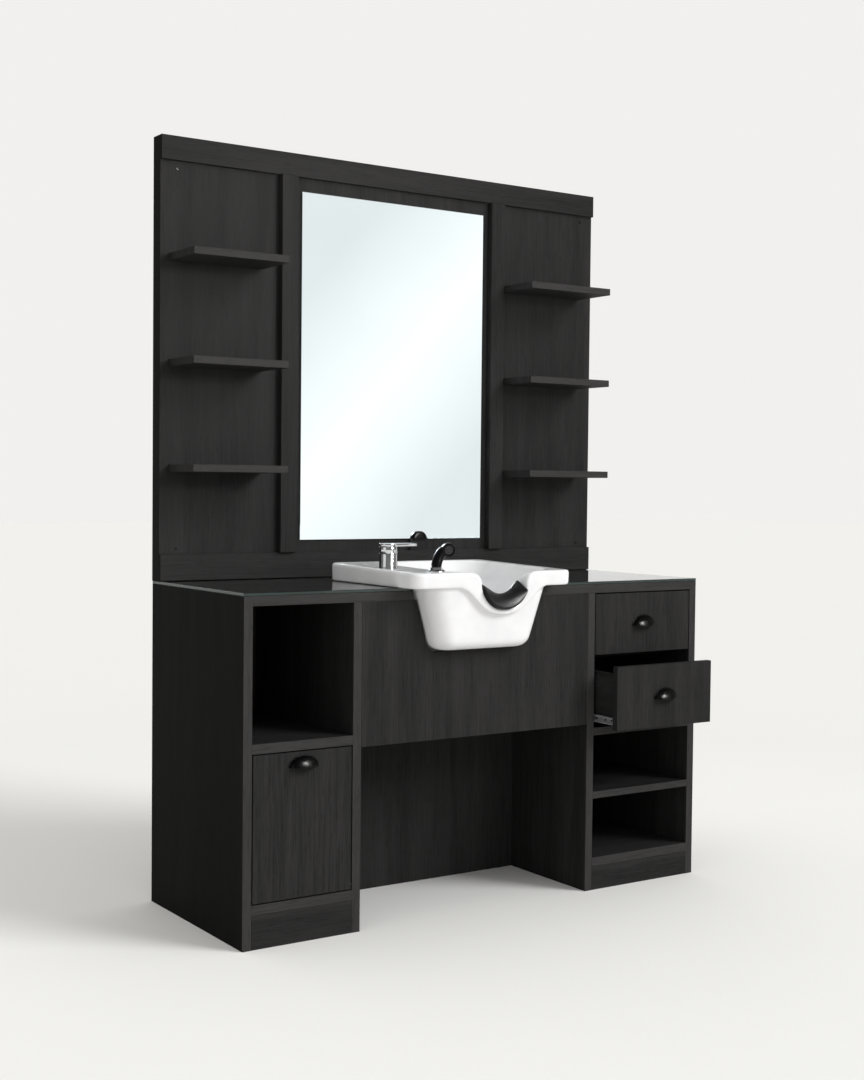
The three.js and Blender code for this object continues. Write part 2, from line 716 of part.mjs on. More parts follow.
// Hand spray in its collar
const handSpray = group("hand_spray", bowlSet);
handSpray.position.set(COLLAR.x, COLLAR.y, COLLAR.seat);
add(
  handSpray,
  "handset_collar",
  turned([
    [SOCKET, 0],
    [COLLAR.radius, 0],
    [COLLAR.radius, 2.2],
    [21, 4.4],
    [17, 7],
    [15.6, 10.5],
    [14.6, COLLAR.height],
    [SOCKET, COLLAR.height],
    [SOCKET, 0],
  ], 36),
  chrome,
);
const handleFoot = COLLAR.height + GAP;
const spigot = rod(SPIGOT, SPIGOT_DEPTH + handleFoot + 4).translate(0, 0, -SPIGOT_DEPTH);
const foot = rod(HANDLE, 7, 24).translate(0, 0, handleFoot);
const handlePath = [
  new THREE.Vector3(0, 0, handleFoot + 3),
  new THREE.Vector3(2, 0, 24),
  new THREE.Vector3(8, 0, 38),
  new THREE.Vector3(17, -2, 51),
  new THREE.Vector3(29, -5, 58),
];
const handle = tube(handlePath, HANDLE, 12, 16);
const head = turned([
  [0, 0],
  [9, 1],
  [15, 4.5],
  [HEAD_RADIUS - 0.6, 10],
  [HEAD_RADIUS, 15],
  [HEAD_RADIUS, 23],
  [HEAD_RADIUS - 1.6, 24.6],
  [HEAD_RADIUS - 3, 24.6],
  [HEAD_RADIUS - 3.6, 23.8],
  [0, 23.8],
], 28);
const HEAD_TURN = { down: 0.1, left: 0.36 };
head.rotateX(Math.PI / 2 + HEAD_TURN.down).rotateZ(-HEAD_TURN.left).translate(34, 2, 59);
add(handSpray, "handset", join(spigot, foot, handle, head), blackPlastic);

// Mirror panel
const mirrorPanel = group("mirror_panel");
const pocketX = inset([-PLATE_X, PLATE_X], -GAP);
const pocketY = [BASE_BACK - GAP, PANEL_Y[1] + ABOVE];
const pocket = board(pocketX, pocketY, [GLASS_TOP - ABOVE, PLATE_Z[1] + GAP], 0);
const backBoard = board([-HALF_WIDTH, HALF_WIDTH], PANEL_Y, [GLASS_TOP, PANEL_TOP]);
const frameDepth = [FRAME_Y, PANEL_Y[0]];
const plateShape = roundedRect([-PLATE_X, PLATE_X], PLATE_Z, PLATE_CORNER);
add(mirrorPanel, "back_board", cut(backBoard, pocket), stained);
const joiningPlate = prism(plateShape, PANEL_Y[1] - BASE_BACK, ARRIS / 2, 6);
add(mirrorPanel, "joining_plate", facing(joiningPlate, PANEL_Y[1]), steel);
add(mirrorPanel, "top_rail", board([-HALF_WIDTH, HALF_WIDTH], frameDepth, [TOP_RAIL, PANEL_TOP]), stained);
add(mirrorPanel, "bottom_rail", board([-HALF_WIDTH, HALF_WIDTH], frameDepth, BOTTOM_RAIL), stained);
const stileZ = [BOTTOM_RAIL[1], TOP_RAIL];
const stileDepth = [STILE_FRONT, PANEL_Y[0]];
add(mirrorPanel, "left_stile", board([-STILE_X[1], -STILE_X[0]], stileDepth, stileZ), stained);
add(mirrorPanel, "right_stile", board(STILE_X, stileDepth, stileZ), stained);
const mirrorDepth = [PANEL_Y[0] - MIRROR_THICK, PANEL_Y[0]];
add(mirrorPanel, "mirror", board([-MIRROR_X, MIRROR_X], mirrorDepth, MIRROR_Z, 0.6), silvered);

// Cable cover: a shell with an arched outline, standing on the bottom rail
function arch(by) {
  const r = (PORT_X[1] - PORT_X[0]) / 2 - by;
  const centre = (PORT_X[0] + PORT_X[1]) / 2;
  const spring = PORT_TOP - (PORT_X[1] - PORT_X[0]) / 2;
  const shape = new THREE.Shape();
  shape.moveTo(centre - r, BOTTOM_RAIL[1] + by);
  shape.lineTo(centre + r, BOTTOM_RAIL[1] + by);
  shape.lineTo(centre + r, spring);
  shape.absarc(centre, spring, r, 0, Math.PI, false);
  shape.closePath();
  return shape;
}

const portBack = mirrorDepth[0] - GAP;
const portHollow = facing(prism(arch(PORT_WALL), PORT_DEPTH, 0), portBack + PORT_WALL);
const portBlank = facing(prism(arch(0), PORT_DEPTH, 1), portBack);
add(mirrorPanel, "cable_port", cut(portBlank, portHollow), blackPlastic);

const sides = [["left", SHELF_LEFT], ["right", SHELF_RIGHT]];
const shelfNames = ["lower", "middle", "upper"];
for (const [side, x] of sides) {
  SHELF_TOPS.forEach((top, i) => {
    const shelf = board(x, [SHELF_FRONT, PANEL_Y[0]], [top - SHELF_THICK, top]);
    add(mirrorPanel, `${side}_shelf_${shelfNames[i]}`, shelf, edging);
  });
}

// Cup pull: a quarter-round shell with a thin lip, open below for the fingers
function cupPull(x, y, z) {
  const { half, tall, deep, wall, lip, lipThick } = PULL;
  const dome = new THREE.SphereGeometry(1, 28, 20).scale(half, deep, tall);
  const hollow = new THREE.SphereGeometry(1, 28, 20).scale(half - wall, deep - wall, tall - wall);
  const lipShape = new THREE.Shape();
  lipShape.absellipse(0, 0, half + lip, tall + lip, 0, Math.PI, false, 0);
  lipShape.closePath();
  const lipPlate = facing(prism(lipShape, lipThick, 0.5, 16), 0);
  const quarter = board([-2 * half, 2 * half], [-2 * deep, 0], [0, 2 * tall], 0);
  const shell = cut(join(common(dome, quarter), lipPlate), hollow);
  return shell.translate(x, y, z - tall / 2);
}

// Drawers
function channel(deep, tall) {
  const t = SLIDE_STEEL;
  const half = tall / 2;
  const shape = new THREE.Shape();
  shape.moveTo(0, -half);
  shape.lineTo(deep, -half);
  shape.lineTo(deep, -half + 3 * t);
  shape.lineTo(deep - t, -half + 3 * t);
  shape.lineTo(deep - t, -half + t);
  shape.lineTo(t, -half + t);
  shape.lineTo(t, half - t);
  shape.lineTo(deep - t, half - t);
  shape.lineTo(deep - t, half - 3 * t);
  shape.lineTo(deep, half - 3 * t);
  shape.lineTo(deep, half);
  shape.lineTo(0, half);
  shape.closePath();
  return shape;
}

// A folded slide member; way is 1 when its open side looks to +X, -1 when it looks to -X
function slideMember({ deep, tall }, x, z, way) {
  const start = FRONT_THICK + 2;
  const member = facing(prism(channel(deep, tall), SLIDE_LENGTH, 0), start + SLIDE_LENGTH);
  if (way < 0) member.rotateZ(Math.PI).translate(0, 2 * start + SLIDE_LENGTH, 0);
  return member.translate(x, 0, z);
}

function makeDrawer(name, [low, high], open) {
  const drawer = group(name);
  drawer.position.y = -open;
  add(drawer, `${name}_front`, board(FRONT_X, [0, FRONT_THICK], [low, high]), stained);
  const boxLow = low + BOX_LIFT;
  const boxHigh = high - BOX_DROP;
  const inner = inset(BOX_X, BOX_WALL);
  const innerBack = BOX_BACK - BOX_WALL;
  const plan = new THREE.Shape();
  plan.moveTo(BOX_X[0], FRONT_THICK);
  plan.lineTo(inner[0], FRONT_THICK);
  plan.lineTo(inner[0], innerBack);
  plan.lineTo(inner[1], innerBack);
  plan.lineTo(inner[1], FRONT_THICK);
  plan.lineTo(BOX_X[1], FRONT_THICK);
  plan.lineTo(BOX_X[1], BOX_BACK);
  plan.lineTo(BOX_X[0], BOX_BACK);
  plan.closePath();
  const walls = prism(plan, boxHigh - boxLow).translate(0, 0, boxLow);
  const grooveX = inset(inner, -GROOVE.deep);
  const grooveZ = [boxLow + GROOVE.up, boxLow + GROOVE.up + GROOVE.tall];
  const groove = board(grooveX, [FRONT_THICK - 5, innerBack + GROOVE.deep], grooveZ, 0);
  add(drawer, `${name}_box`, cut(walls, groove), stained);
  const bottomX = inset(grooveX, GAP);
  const bottomY = [FRONT_THICK, innerBack + GROOVE.deep - GAP];
  add(drawer, `${name}_bottom`, board(bottomX, bottomY, inset(grooveZ, GAP / 2), 0), stained);
  const centre = (FRONT_X[0] + FRONT_X[1]) / 2;
  add(drawer, `${name}_pull`, cupPull(centre, 0, (low + high) / 2), blackMetal);
  const slideZ = low + SLIDE_UP;
  add(drawer, `${name}_slide_left`, slideMember(DRAWER_SLIDE, BOX_X[0], slideZ, -1), steel);
  add(drawer, `${name}_slide_right`, slideMember(DRAWER_SLIDE, BOX_X[1], slideZ, 1), steel);
  add(carcass, `${name}_cabinet_slide_left`, slideMember(CABINET_SLIDE, RIGHT_X[0], slideZ, 1), steel);
  add(carcass, `${name}_cabinet_slide_right`, slideMember(CABINET_SLIDE, RIGHT_X[1], slideZ, -1), steel);
}

makeDrawer("upper_drawer", UPPER_FRONT, 0);
makeDrawer("lower_drawer", LOWER_FRONT, DRAWER_OPEN);

// Hamper: a door on a pivot rod with a quadrant bin behind it
const hamper = group("hamper");
const slotShape = new THREE.Shape();
const slotHalf = PIVOT.radius + GAP;
slotShape.moveTo(PIVOT.y - slotHalf, DOOR_Z[0] - 5);
slotShape.lineTo(PIVOT.y + slotHalf, DOOR_Z[0] - 5);
slotShape.lineTo(PIVOT.y + slotHalf, PIVOT.z);
slotShape.absarc(PIVOT.y, PIVOT.z, slotHalf, 0, Math.PI, false);
slotShape.closePath();
const doorSpan = DOOR_X[1] - DOOR_X[0];
const slot = sideways(prism(slotShape, doorSpan + 20, 0), DOOR_X[0] - 10);
add(hamper, "hamper_door", cut(board(DOOR_X, [0, FRONT_THICK], DOOR_Z), slot), stained);

function binSide(by) {
  const BIN_CORNER = 20;
  const reach = BIN_REACH + (by ? 40 : 0);
  const front = FRONT_THICK + by;
  const back = BIN_BACK - by;
  const floor = BIN_FLOOR + by;
  const r = BIN_CORNER - by;
  const backAngle = Math.acos((back - PIVOT.y) / reach);
  const frontAngle = Math.acos((front - PIVOT.y) / reach);
  const shape = new THREE.Shape();
  shape.moveTo(front, floor);
  shape.lineTo(back - r, floor);
  shape.absarc(back - r, floor + r, r, -Math.PI / 2, 0, false);
  shape.lineTo(back, PIVOT.z + reach * Math.sin(backAngle));
  shape.absarc(PIVOT.y, PIVOT.z, reach, backAngle, frontAngle, false);
  shape.closePath();
  return shape;
}

const binSpan = BIN_X[1] - BIN_X[0];
const binOuter = sideways(prism(binSide(0), binSpan), BIN_X[0]);
const binInner = sideways(prism(binSide(BIN_WALL), binSpan - 2 * BIN_WALL, 0), BIN_X[0] + BIN_WALL);
add(hamper, "hamper_bin", cut(binOuter, binInner), binPlastic);
add(hamper, "hamper_pull", cupPull((DOOR_X[0] + DOOR_X[1]) / 2, 0, HAMPER_PULL_Z), blackMetal);
const pivotRod = alongX(rod(PIVOT.radius, pivotLength), pivotStart, PIVOT.y, PIVOT.z);
add(carcass, "hamper_pivot_rod", pivotRod, steel);

export default station;
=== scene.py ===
"""Salon wash and styling station: finishes for its boards, glass and metal, its cast, moulded and
turned pieces, and the studio that shows it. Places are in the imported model's frame, in metres."""

from math import asin, atan2, cos, hypot, pi, radians, sin

import bmesh
import bpy
from bpy.props import FloatProperty, FloatVectorProperty, IntProperty, PointerProperty
from mathutils import Matrix, Vector


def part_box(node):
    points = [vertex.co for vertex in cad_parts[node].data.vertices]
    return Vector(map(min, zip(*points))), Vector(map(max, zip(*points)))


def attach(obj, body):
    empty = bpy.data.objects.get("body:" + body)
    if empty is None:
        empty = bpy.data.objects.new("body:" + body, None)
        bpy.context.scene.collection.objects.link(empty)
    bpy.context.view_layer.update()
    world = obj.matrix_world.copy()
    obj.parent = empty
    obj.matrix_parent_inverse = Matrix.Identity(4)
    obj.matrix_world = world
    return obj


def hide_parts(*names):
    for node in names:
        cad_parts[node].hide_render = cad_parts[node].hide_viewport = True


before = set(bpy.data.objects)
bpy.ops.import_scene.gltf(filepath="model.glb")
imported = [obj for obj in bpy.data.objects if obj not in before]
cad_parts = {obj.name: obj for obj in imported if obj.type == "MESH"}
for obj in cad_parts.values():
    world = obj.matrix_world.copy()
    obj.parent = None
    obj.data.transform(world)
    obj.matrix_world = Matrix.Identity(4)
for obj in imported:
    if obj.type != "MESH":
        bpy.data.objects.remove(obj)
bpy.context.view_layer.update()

bl_info = {
    "name": "Salon wash station",
    "version": (1, 0, 0),
    "blender": (4, 5, 0),
    "location": "View3D > Sidebar > Station",
    "description": "Finishes and details of a salon wash and styling station",
    "category": "Object",
}

MM = 0.001
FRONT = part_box("left_end_panel")[0].y
SHELF_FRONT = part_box("left_shelf_upper")[0].y
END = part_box("right_end_panel")[1].x
GLASS_LOW, GLASS_HIGH = (corner.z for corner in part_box("glass_top"))
ORIGIN = Vector((0, 0, 0))
# The bowl in millimetres: its centre line, its rim's front, and its notch's centre and radius
BOWL_MIDDLE, RIM_FRONT = -20, -84
NOTCH_HEIGHT, NOTCH_RADIUS = 898, 74


def at(x, y, z):
    """A point in millimetres from the centre line, the cabinet's front plane and the floor."""
    return Vector((x * MM, FRONT + y * MM, z * MM))


def linear(code):
    """An sRGB hex colour as linear red, green and blue."""
    parts = [int(code[i : i + 2], 16) / 255 for i in (0, 2, 4)]
    return tuple(c / 12.92 if c <= 0.04045 else ((c + 0.055) / 1.055) ** 2.4 for c in parts)


def colour(name, description, code):
    return FloatVectorProperty(
        name=name, description=description, subtype="COLOR", default=linear(code), min=0, max=1
    )


def amount(name, description, default, **more):
    return FloatProperty(name=name, description=description, default=default, min=0, **more)


def length(name, description, millimetres):
    return amount(name, description, millimetres * MM, unit="LENGTH", precision=4)


# What a user would change


class BoardLook(bpy.types.PropertyGroup):
    """Black stained board: tones and grain."""

    dark: colour("Stain", "Tone between the grain streaks", "1e1e1e")
    light: colour("Streak", "Tone of the open grain's streaks", "323131")
    # Painted shade: the End faces tone darkens the boards' outer end faces against the fronts
    end: amount("End faces", "Tone of the outer end faces against the fronts", 0.24, max=1)
    edge: colour("Edge band", "Paler tone of the banded front edges", "3b3a3a")
    streak: length("Streak width", "Width of one grain streak", 5)
    run: length("Streak length", "Length of one grain streak", 150)
    figure: length("Figure width", "Width of the broad tonal bands", 45)
    pore: length("Pore width", "Width of an open pore", 2.2)


class BowlSizes(bpy.types.PropertyGroup):
    """Ceramic wash bowl and its neck rest."""

    body_corner: length("Body corner", "Corner radius of the tapering body", 48)
    rim_corner: length("Rim corner", "Corner radius of the rim in plan", 30)
    rim_round: length("Rim edge", "Rounding along the rim's top edge", 7)
    foot_round: length("Foot edge", "Rounding under the body", 28)
    basin_corner: length("Basin corner", "Corner radius of the basin", 66)
    basin_round: length("Basin foot", "Rounding where the basin's wall meets its floor", 34)
    skin: length("Skin pitch", "Pitch of the casting's surface mesh", 3.4)
    passes: IntProperty(
        name="Glaze passes", description="How far the glaze softens edges", default=9, min=1
    )
    rest_steps: IntProperty(
        name="Rest steps", description="Sections around the neck rest", default=26, min=8
    )


class PullSizes(bpy.types.PropertyGroup):
    """Cup pulls."""

    half: length("Half width", "Half the width of the cup", 40)
    deep: length("Depth", "How far the cup stands out", 22)
    tall: length("Height", "Height of the cup", 32)
    lip: length("Lip", "Width of the flat lip around the cup", 3)
    wall: length("Wall", "Thickness of the pressed metal", 1.9)


class FittingSizes(bpy.types.PropertyGroup):
    """Mixer, hand spray, pipe, mirror and screws."""

    mixer: length("Mixer radius", "Radius of the mixer's body", 24.5)
    lever: length("Lever reach", "From the mixer's axis to the lever's tip", 85)
    handle: length("Handle radius", "Radius of the hand spray's handle", 14)
    head: length("Spray head radius", "Radius of the hand spray's head", 18.6)
    pipe: length("Pipe radius", "Outer radius of the waste pipe", 20)
    arris: length("Mirror arris", "Width of the mirror's polished arris", 1.2)
    screw: length("Screw head", "Radius of a screw head", 4.2)


class StudioLook(bpy.types.PropertyGroup):
    """Floor, lights and backdrop."""

    paper: colour("Paper", "Pale seamless floor", "ececea")
    air: colour("Backdrop", "Tone of the air behind the object", "f1f0ee")
    fill: amount("Fill", "Strength of the soft light from all round", 0.9)
    surround: amount("Surround", "Strength of the studio in front, as shiny pieces show it", 0.22)
    key: amount("Key", "Strength of the main light", 2.0)
    core: amount("Soft box", "Strength of the soft box's middle", 250)
    spread: amount("Key spread", "How wide the main light looks", radians(26), subtype="ANGLE")
    lens: amount("Lens", "Focal length", 51.0, unit="CAMERA")


# Modelling helpers


def deselect():
    bpy.ops.object.select_all(action="DESELECT")


def focus(piece):
    """Make one piece the only one that operators act on."""
    deselect()
    piece.select_set(True)
    bpy.context.view_layer.objects.active = piece


def added(name, operator, **settings):
    """Add a primitive with nothing else selected, and name it."""
    deselect()
    operator(**settings)
    piece = bpy.context.active_object
    piece.name = name
    return piece


def apply(piece, kind, **settings):
    """Add a modifier with its settings and apply it."""
    change = piece.modifiers.new(kind.title(), kind)
    for name, value in settings.items():
        setattr(change, name, value)
    focus(piece)
    bpy.ops.object.modifier_apply(modifier=change.name)


def ease(piece, width, segments=2, degrees=50):
    """Round a piece's sharp edges, by a width in millimetres."""
    rounding = {"width": width * MM, "segments": segments}
    apply(piece, "BEVEL", limit_method="ANGLE", angle_limit=radians(degrees), **rounding)


def edit():
    bpy.ops.object.mode_set(mode="EDIT")


def leave():
    bpy.ops.object.mode_set(mode="OBJECT")


def pick(piece, kind, test):
    """Enter edit mode with only the faces, edges or verts that pass a test selected."""
    focus(piece)
    edit()
    bpy.ops.mesh.select_mode(type={"faces": "FACE", "edges": "EDGE", "verts": "VERT"}[kind])
    bpy.ops.mesh.select_all(action="DESELECT")
    form = bmesh.from_edit_mesh(piece.data)
    form.normal_update()
    for element in getattr(form, kind):
        if test(element):
            element.select_set(True)
    form.select_flush_mode()
    bmesh.update_edit_mesh(piece.data)


def close_skin():
    """In edit mode: weld doubles, drop loose edges and turn every face outwards."""
    bpy.ops.mesh.select_all(action="SELECT")
    bpy.ops.mesh.remove_doubles(threshold=0.00001)
    bpy.ops.mesh.delete_loose()
    bpy.ops.mesh.select_all(action="SELECT")
    bpy.ops.mesh.normals_make_consistent(inside=False)


def smooth(piece, degrees=32):
    focus(piece)
    bpy.ops.object.shade_smooth_by_angle(angle=radians(degrees))


def block(name, low, high):
    """A cube between two corners."""
    middle, size = (low + high) / 2, high - low
    piece = added(name, bpy.ops.mesh.primitive_cube_add, size=1, location=middle, scale=size)
    bpy.ops.object.transform_apply()
    return piece


def ring(name, points, fill="NOTHING"):
    """A closed ring through points, all of it selected in edit mode."""
    circle = bpy.ops.mesh.primitive_circle_add
    piece = added(name, circle, vertices=len(points), fill_type=fill)
    for vertex, point in zip(piece.data.vertices, points):
        vertex.co = point
    edit()
    bpy.ops.mesh.select_all(action="SELECT")
    return piece


def tub(name, foot, mouth, corner, hem=0, brow=0, rise=0):
    """A block that widens from its foot to its mouth, with rounded corners; foot and mouth are
    (x, y, z) with x and y spans, hem and brow round its lower and upper edges, and rise lifts the
    mouth's back."""
    (fx, fy, fz), (mx, my, mz) = foot, mouth
    piece = block(name, at(fx[0], fy[0], fz), at(fx[1], fy[1], mz))
    middle = at(sum(fx) / 2, sum(fy) / 2, mz)
    grow = ((mx[1] - mx[0]) / (fx[1] - fx[0]), (my[1] - my[0]) / (fy[1] - fy[0]), 1)
    pick(piece, "faces", lambda face: face.normal.z > 0.9)
    bpy.ops.transform.resize(value=grow, center_override=middle)
    bpy.ops.transform.translate(value=at(sum(mx) / 2, sum(my) / 2, mz) - middle)
    leave()
    back = at(0, my[1], 0).y - MM
    pick(piece, "verts", lambda v: v.co.z > mz * MM - MM and v.co.y > back)
    bpy.ops.transform.translate(value=(0, 0, rise * MM))
    leave()
    half = (mz - fz) / 2 * MM
    pick(piece, "edges", lambda e: abs(e.verts[0].co.z - e.verts[1].co.z) > half)
    bpy.ops.mesh.bevel(offset=corner, segments=10, affect="EDGES")
    leave()
    split = (fz + mz) / 2 * MM
    for size, low_edge in ((hem, True), (brow, False)):
        if not size:
            continue

        def around(edge):
            """Whether an edge runs round the foot, or round the mouth."""
            level = all((v.co.z < split) == low_edge for v in edge.verts)
            return level and any(abs(f.normal.z) > 0.9 for f in edge.link_faces)

        pick(piece, "edges", around)
        bpy.ops.mesh.bevel(offset=size, segments=6, affect="EDGES")
        leave()
    return piece


def plate(name, outline, push):
    """A flat piece cut to an outline of points and thickened along push."""
    piece = ring(name, outline, "NGON")
    bpy.ops.mesh.extrude_region_move(TRANSFORM_OT_translate={"value": push})
    close_skin()
    leave()
    return piece


def spun(name, profile, foot, steps=72):
    """A turned solid: a closed profile of radius and height in millimetres, spun about an upright
    axis."""
    piece = ring(name, [foot + Vector((radius, 0, height)) * MM for radius, height in profile])
    bpy.ops.mesh.spin(steps=steps, angle=2 * pi, center=foot, axis=(0, 0, 1))
    close_skin()
    leave()
    smooth(piece)
    return piece


def combine(piece, tool, operation):
    """Unite two solids or cut one by the other, and take the tool away."""
    apply(piece, "BOOLEAN", operation=operation, solver="EXACT", object=tool)
    bpy.data.objects.remove(tool)


def cast(piece, pitch, passes):
    """Run a solid's skin together into one rounded casting."""
    apply(piece, "REMESH", mode="VOXEL", voxel_size=pitch, use_smooth_shade=True)
    apply(piece, "SMOOTH", factor=0.5, iterations=passes)
    smooth(piece, 60)


def bent(points, radius, name, caps):
    """A round bar along points, as a mesh."""
    path = added(name, bpy.ops.curve.primitive_bezier_curve_add)
    path.data.bevel_depth = radius
    path.data.bevel_resolution = 7
    path.data.resolution_u = 10
    path.data.use_fill_caps = caps
    spline = path.data.splines[0]
    spline.bezier_points.add(len(points) - len(spline.bezier_points))
    for knot, point in zip(spline.bezier_points, points):
        knot.co = point
        knot.handle_left_type = knot.handle_right_type = "AUTO"
    bpy.ops.object.convert(target="MESH")
    piece = bpy.context.active_object
    edit()
    close_skin()
    leave()
    return piece


def copy_of(piece, name, shift):
    """A copy with its own mesh, moved by shift."""
    focus(piece)
    bpy.ops.object.duplicate(linked=False)
    made = bpy.context.active_object
    made.name = name
    bpy.ops.transform.translate(value=shift)
    bpy.ops.object.transform_apply()
    return made


def merge(pieces, name):
    """Several objects as one."""
    deselect()
    for piece in pieces:
        piece.select_set(True)
    bpy.context.view_layer.objects.active = pieces[0]
    bpy.ops.object.join()
    pieces[0].name = name
    return pieces[0]


def settle(piece, body, slot, material, *nodes):
    """Give a finished piece its finish and its body, and hide the solids that it stands for. The
    slot is not used."""
    piece.data.materials.clear()
    piece.data.materials.append(material)
    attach(piece, body)
    if nodes:
        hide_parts(*nodes)


def finish(nodes, material):
    """Put a finish on solids that keep their own shape."""
    for name in nodes:
        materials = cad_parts[name].data.materials
        materials.clear()
        materials.append(material)


def stand(solid):
    """The middle of a solid's foot."""
    low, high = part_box(solid)
    return Vector(((low.x + high.x) / 2, (low.y + high.y) / 2, low.z))


def bezier(a, b, c, d, steps):
    """Points along a cubic curve, without its end."""
    spots = [i / steps for i in range(steps)]
    return [
        tuple((1 - t) ** 3 * p + 3 * t * (1 - t) ** 2 * q + 3 * t * t * (1 - t) * r + t**3 * s
              for p, q, r, s in zip(a, b, c, d))
        for t in spots
    ]


def arc(centre, radius, start, end, steps):
    """Points along an arc, ends included."""
    turns = [start + (end - start) * i / steps for i in range(steps + 1)]
    return [(centre[0] + radius * cos(a), centre[1] + radius * sin(a)) for a in turns]


# Finishes


def feed(tree, made, inputs):
    """Set sockets to values, or link them to outputs; a node stands for its first one in use."""
    for name, value in inputs.items():
        if isinstance(value, bpy.types.Node):
            value = next(output for output in value.outputs if output.enabled)
        if isinstance(value, bpy.types.NodeSocket):
            tree.links.new(value, made.inputs[name])
        else:
            made.inputs[name].default_value = value


def node(tree, kind, inputs=None, **settings):
    """Add a shader node with its settings, values and links."""
    made = tree.nodes.new("ShaderNode" + kind)
    for name, value in settings.items():
        setattr(made, name, value)
    feed(tree, made, inputs or {})
    return made


def new_finish(name):
    """A new material, with its tree, its shader and its object coordinates."""
    made = bpy.data.materials.new(name)
    made.use_nodes = True
    tree = made.node_tree
    place = node(tree, "TexCoord").outputs["Object"]
    return made, tree, tree.nodes["Principled BSDF"], place


def stained_board(name, along, shift, front):
    """Ash-grain board under black stain and satin lacquer. The stain fills the soft grain and
    leaves the hard grain a shade paler, so the eye gets fine soft streaks along the board over
    broad slow bands, with open pores as short dark ticks. Front edges carry a paler band."""
    look = bpy.context.scene.station_boards
    made, tree, shader, place = new_finish(name)
    axis = "XYZ".index(along)

    def grain(width, run, detail):
        scale = [1 / width] * 3
        scale[axis] = 1 / run
        laid = node(tree, "Mapping", {"Vector": place, "Location": [shift] * 3, "Scale": scale})
        drawn = {"Vector": laid, "Scale": 1.0, "Detail": detail, "Roughness": 0.6}
        spread = {"Value": node(tree, "TexNoise", drawn), "From Min": 0.3, "From Max": 0.7}
        return node(tree, "MapRange", spread)

    streaks = grain(look.streak, look.run, 3.0)
    bands = grain(look.figure, look.run * 5, 1.0)
    # Real pores are about 0.3 mm wide; they are drawn wider here, or they wouldn't show
    pores = grain(look.pore, look.run / 4, 1.0)
    figure = node(tree, "Mix", {0: 0.42, 2: streaks, 3: bands})
    tones = {0: figure, 6: (*look.dark, 1), 7: (*look.light, 1)}
    stain = node(tree, "Mix", tones, data_type="RGBA")
    if front is not None:
        depth = node(tree, "SeparateXYZ", {0: place}).outputs["Y"]
        banded = node(tree, "Math", {0: depth, 1: front + MM}, operation="LESS_THAN")
        part = node(tree, "MapRange", {"Value": figure, "To Min": 0.45, "To Max": 1.0})
        share = node(tree, "Math", {0: banded, 1: part}, operation="MULTIPLY")
        stain = node(tree, "Mix", {0: share, 6: stain, 7: (*look.edge, 1)}, data_type="RGBA")
    # Painted shade: the outer end faces are darkened against the fronts by the End faces tone
    across = node(tree, "SeparateXYZ", {0: place}).outputs["X"]
    reach = node(tree, "Math", {0: across}, operation="ABSOLUTE")
    outer = node(tree, "Math", {0: reach, 1: END - 0.2 * MM}, operation="GREATER_THAN")
    shade = node(tree, "MapRange", {"Value": outer, "To Min": 1.0, "To Max": look.end})
    thin = {"Value": pores, "From Max": 0.35, "To Min": 0.7, "To Max": 1.0}
    ticks = node(tree, "MapRange", thin)
    for layer in (shade, ticks):
        laid_on = {0: 1.0, 6: stain, 7: layer}
        stain = node(tree, "Mix", laid_on, data_type="RGBA", blend_type="MULTIPLY")
    relief = node(tree, "Math", {0: streaks, 1: ticks}, operation="ADD")
    bump = {"Height": relief, "Strength": 0.3, "Distance": 0.25 * MM}
    gloss = {"Value": streaks, "To Min": 0.5, "To Max": 0.64}
    feed(tree, shader, {
        "Base Color": stain,
        "Roughness": node(tree, "MapRange", gloss),
        "Normal": node(tree, "Bump", bump),
        "Specular IOR Level": 0.028,
    })
    return made


def varied(name, tones, grain, gloss, relief=0.0, stretch=(1, 1, 1), **sockets):
    """A finish whose tone, gloss and relief vary together over a grain in millimetres; relief is
    the grain's depth in millimetres, and sockets are constants on the shader."""
    made, tree, shader, place = new_finish(name)
    scale = [1 / (grain * MM * s) for s in stretch]
    laid = node(tree, "Mapping", {"Vector": place, "Scale": scale})
    drawn = node(tree, "TexNoise", {"Vector": laid, "Scale": 1.0, "Detail": 2.0})
    share = node(tree, "MapRange", {"Value": drawn, "From Min": 0.3, "From Max": 0.7})
    low, high = ((*linear(code), 1) for code in tones)
    rough = {"Value": share, "To Min": gloss[0], "To Max": gloss[1]}
    feed(tree, shader, {
        "Base Color": node(tree, "Mix", {0: share, 6: low, 7: high}, data_type="RGBA"),
        "Roughness": node(tree, "MapRange", rough),
    })
    if relief:
        bump = {"Height": share, "Strength": 0.5, "Distance": relief * MM}
        feed(tree, shader, {"Normal": node(tree, "Bump", bump)})
    feed(tree, shader, {socket.replace("_", " "): value for socket, value in sockets.items()})
    return made


def glaze():
    """Vitreous china under a white gloss glaze: clean, slightly cool white with crisp soft-edged
    reflections and the faintest unevenness of tone where the glaze pooled."""
    tones, gloss = ("e3e3e5", "eaeaeb"), (0.08, 0.14)
    return varied("glazed_white_china", tones, 60, gloss, Specular_IOR_Level=0.2)


def chrome():
    """Polished chrome plate on brass: near-mirror, a little blue, with wiping marks that dull it in
    places."""
    return varied("polished_chrome", ("c4c6c9", "e4e5e7"), 26, (0.045, 0.1), Metallic=1.0)


def enamel():
    """Black stoved enamel on pressed steel: deep black, with one soft highlight and a fine flow
    texture."""
    tones, gloss = ("020202", "040404"), (0.27, 0.32)
    return varied("black_stoved_enamel", tones, 7, gloss, 0.02, Specular_IOR_Level=0.12)


def moulded_black():
    """Moulded black ABS with a fine spark-eroded grain: a low, broken sheen. The real grain is
    near 0.2 mm, drawn coarser to show."""
    tones, gloss = ("070708", "0d0d0e"), (0.24, 0.34)
    return varied("moulded_black_abs", tones, 1.6, gloss, 0.05, Specular_IOR_Level=0.08)


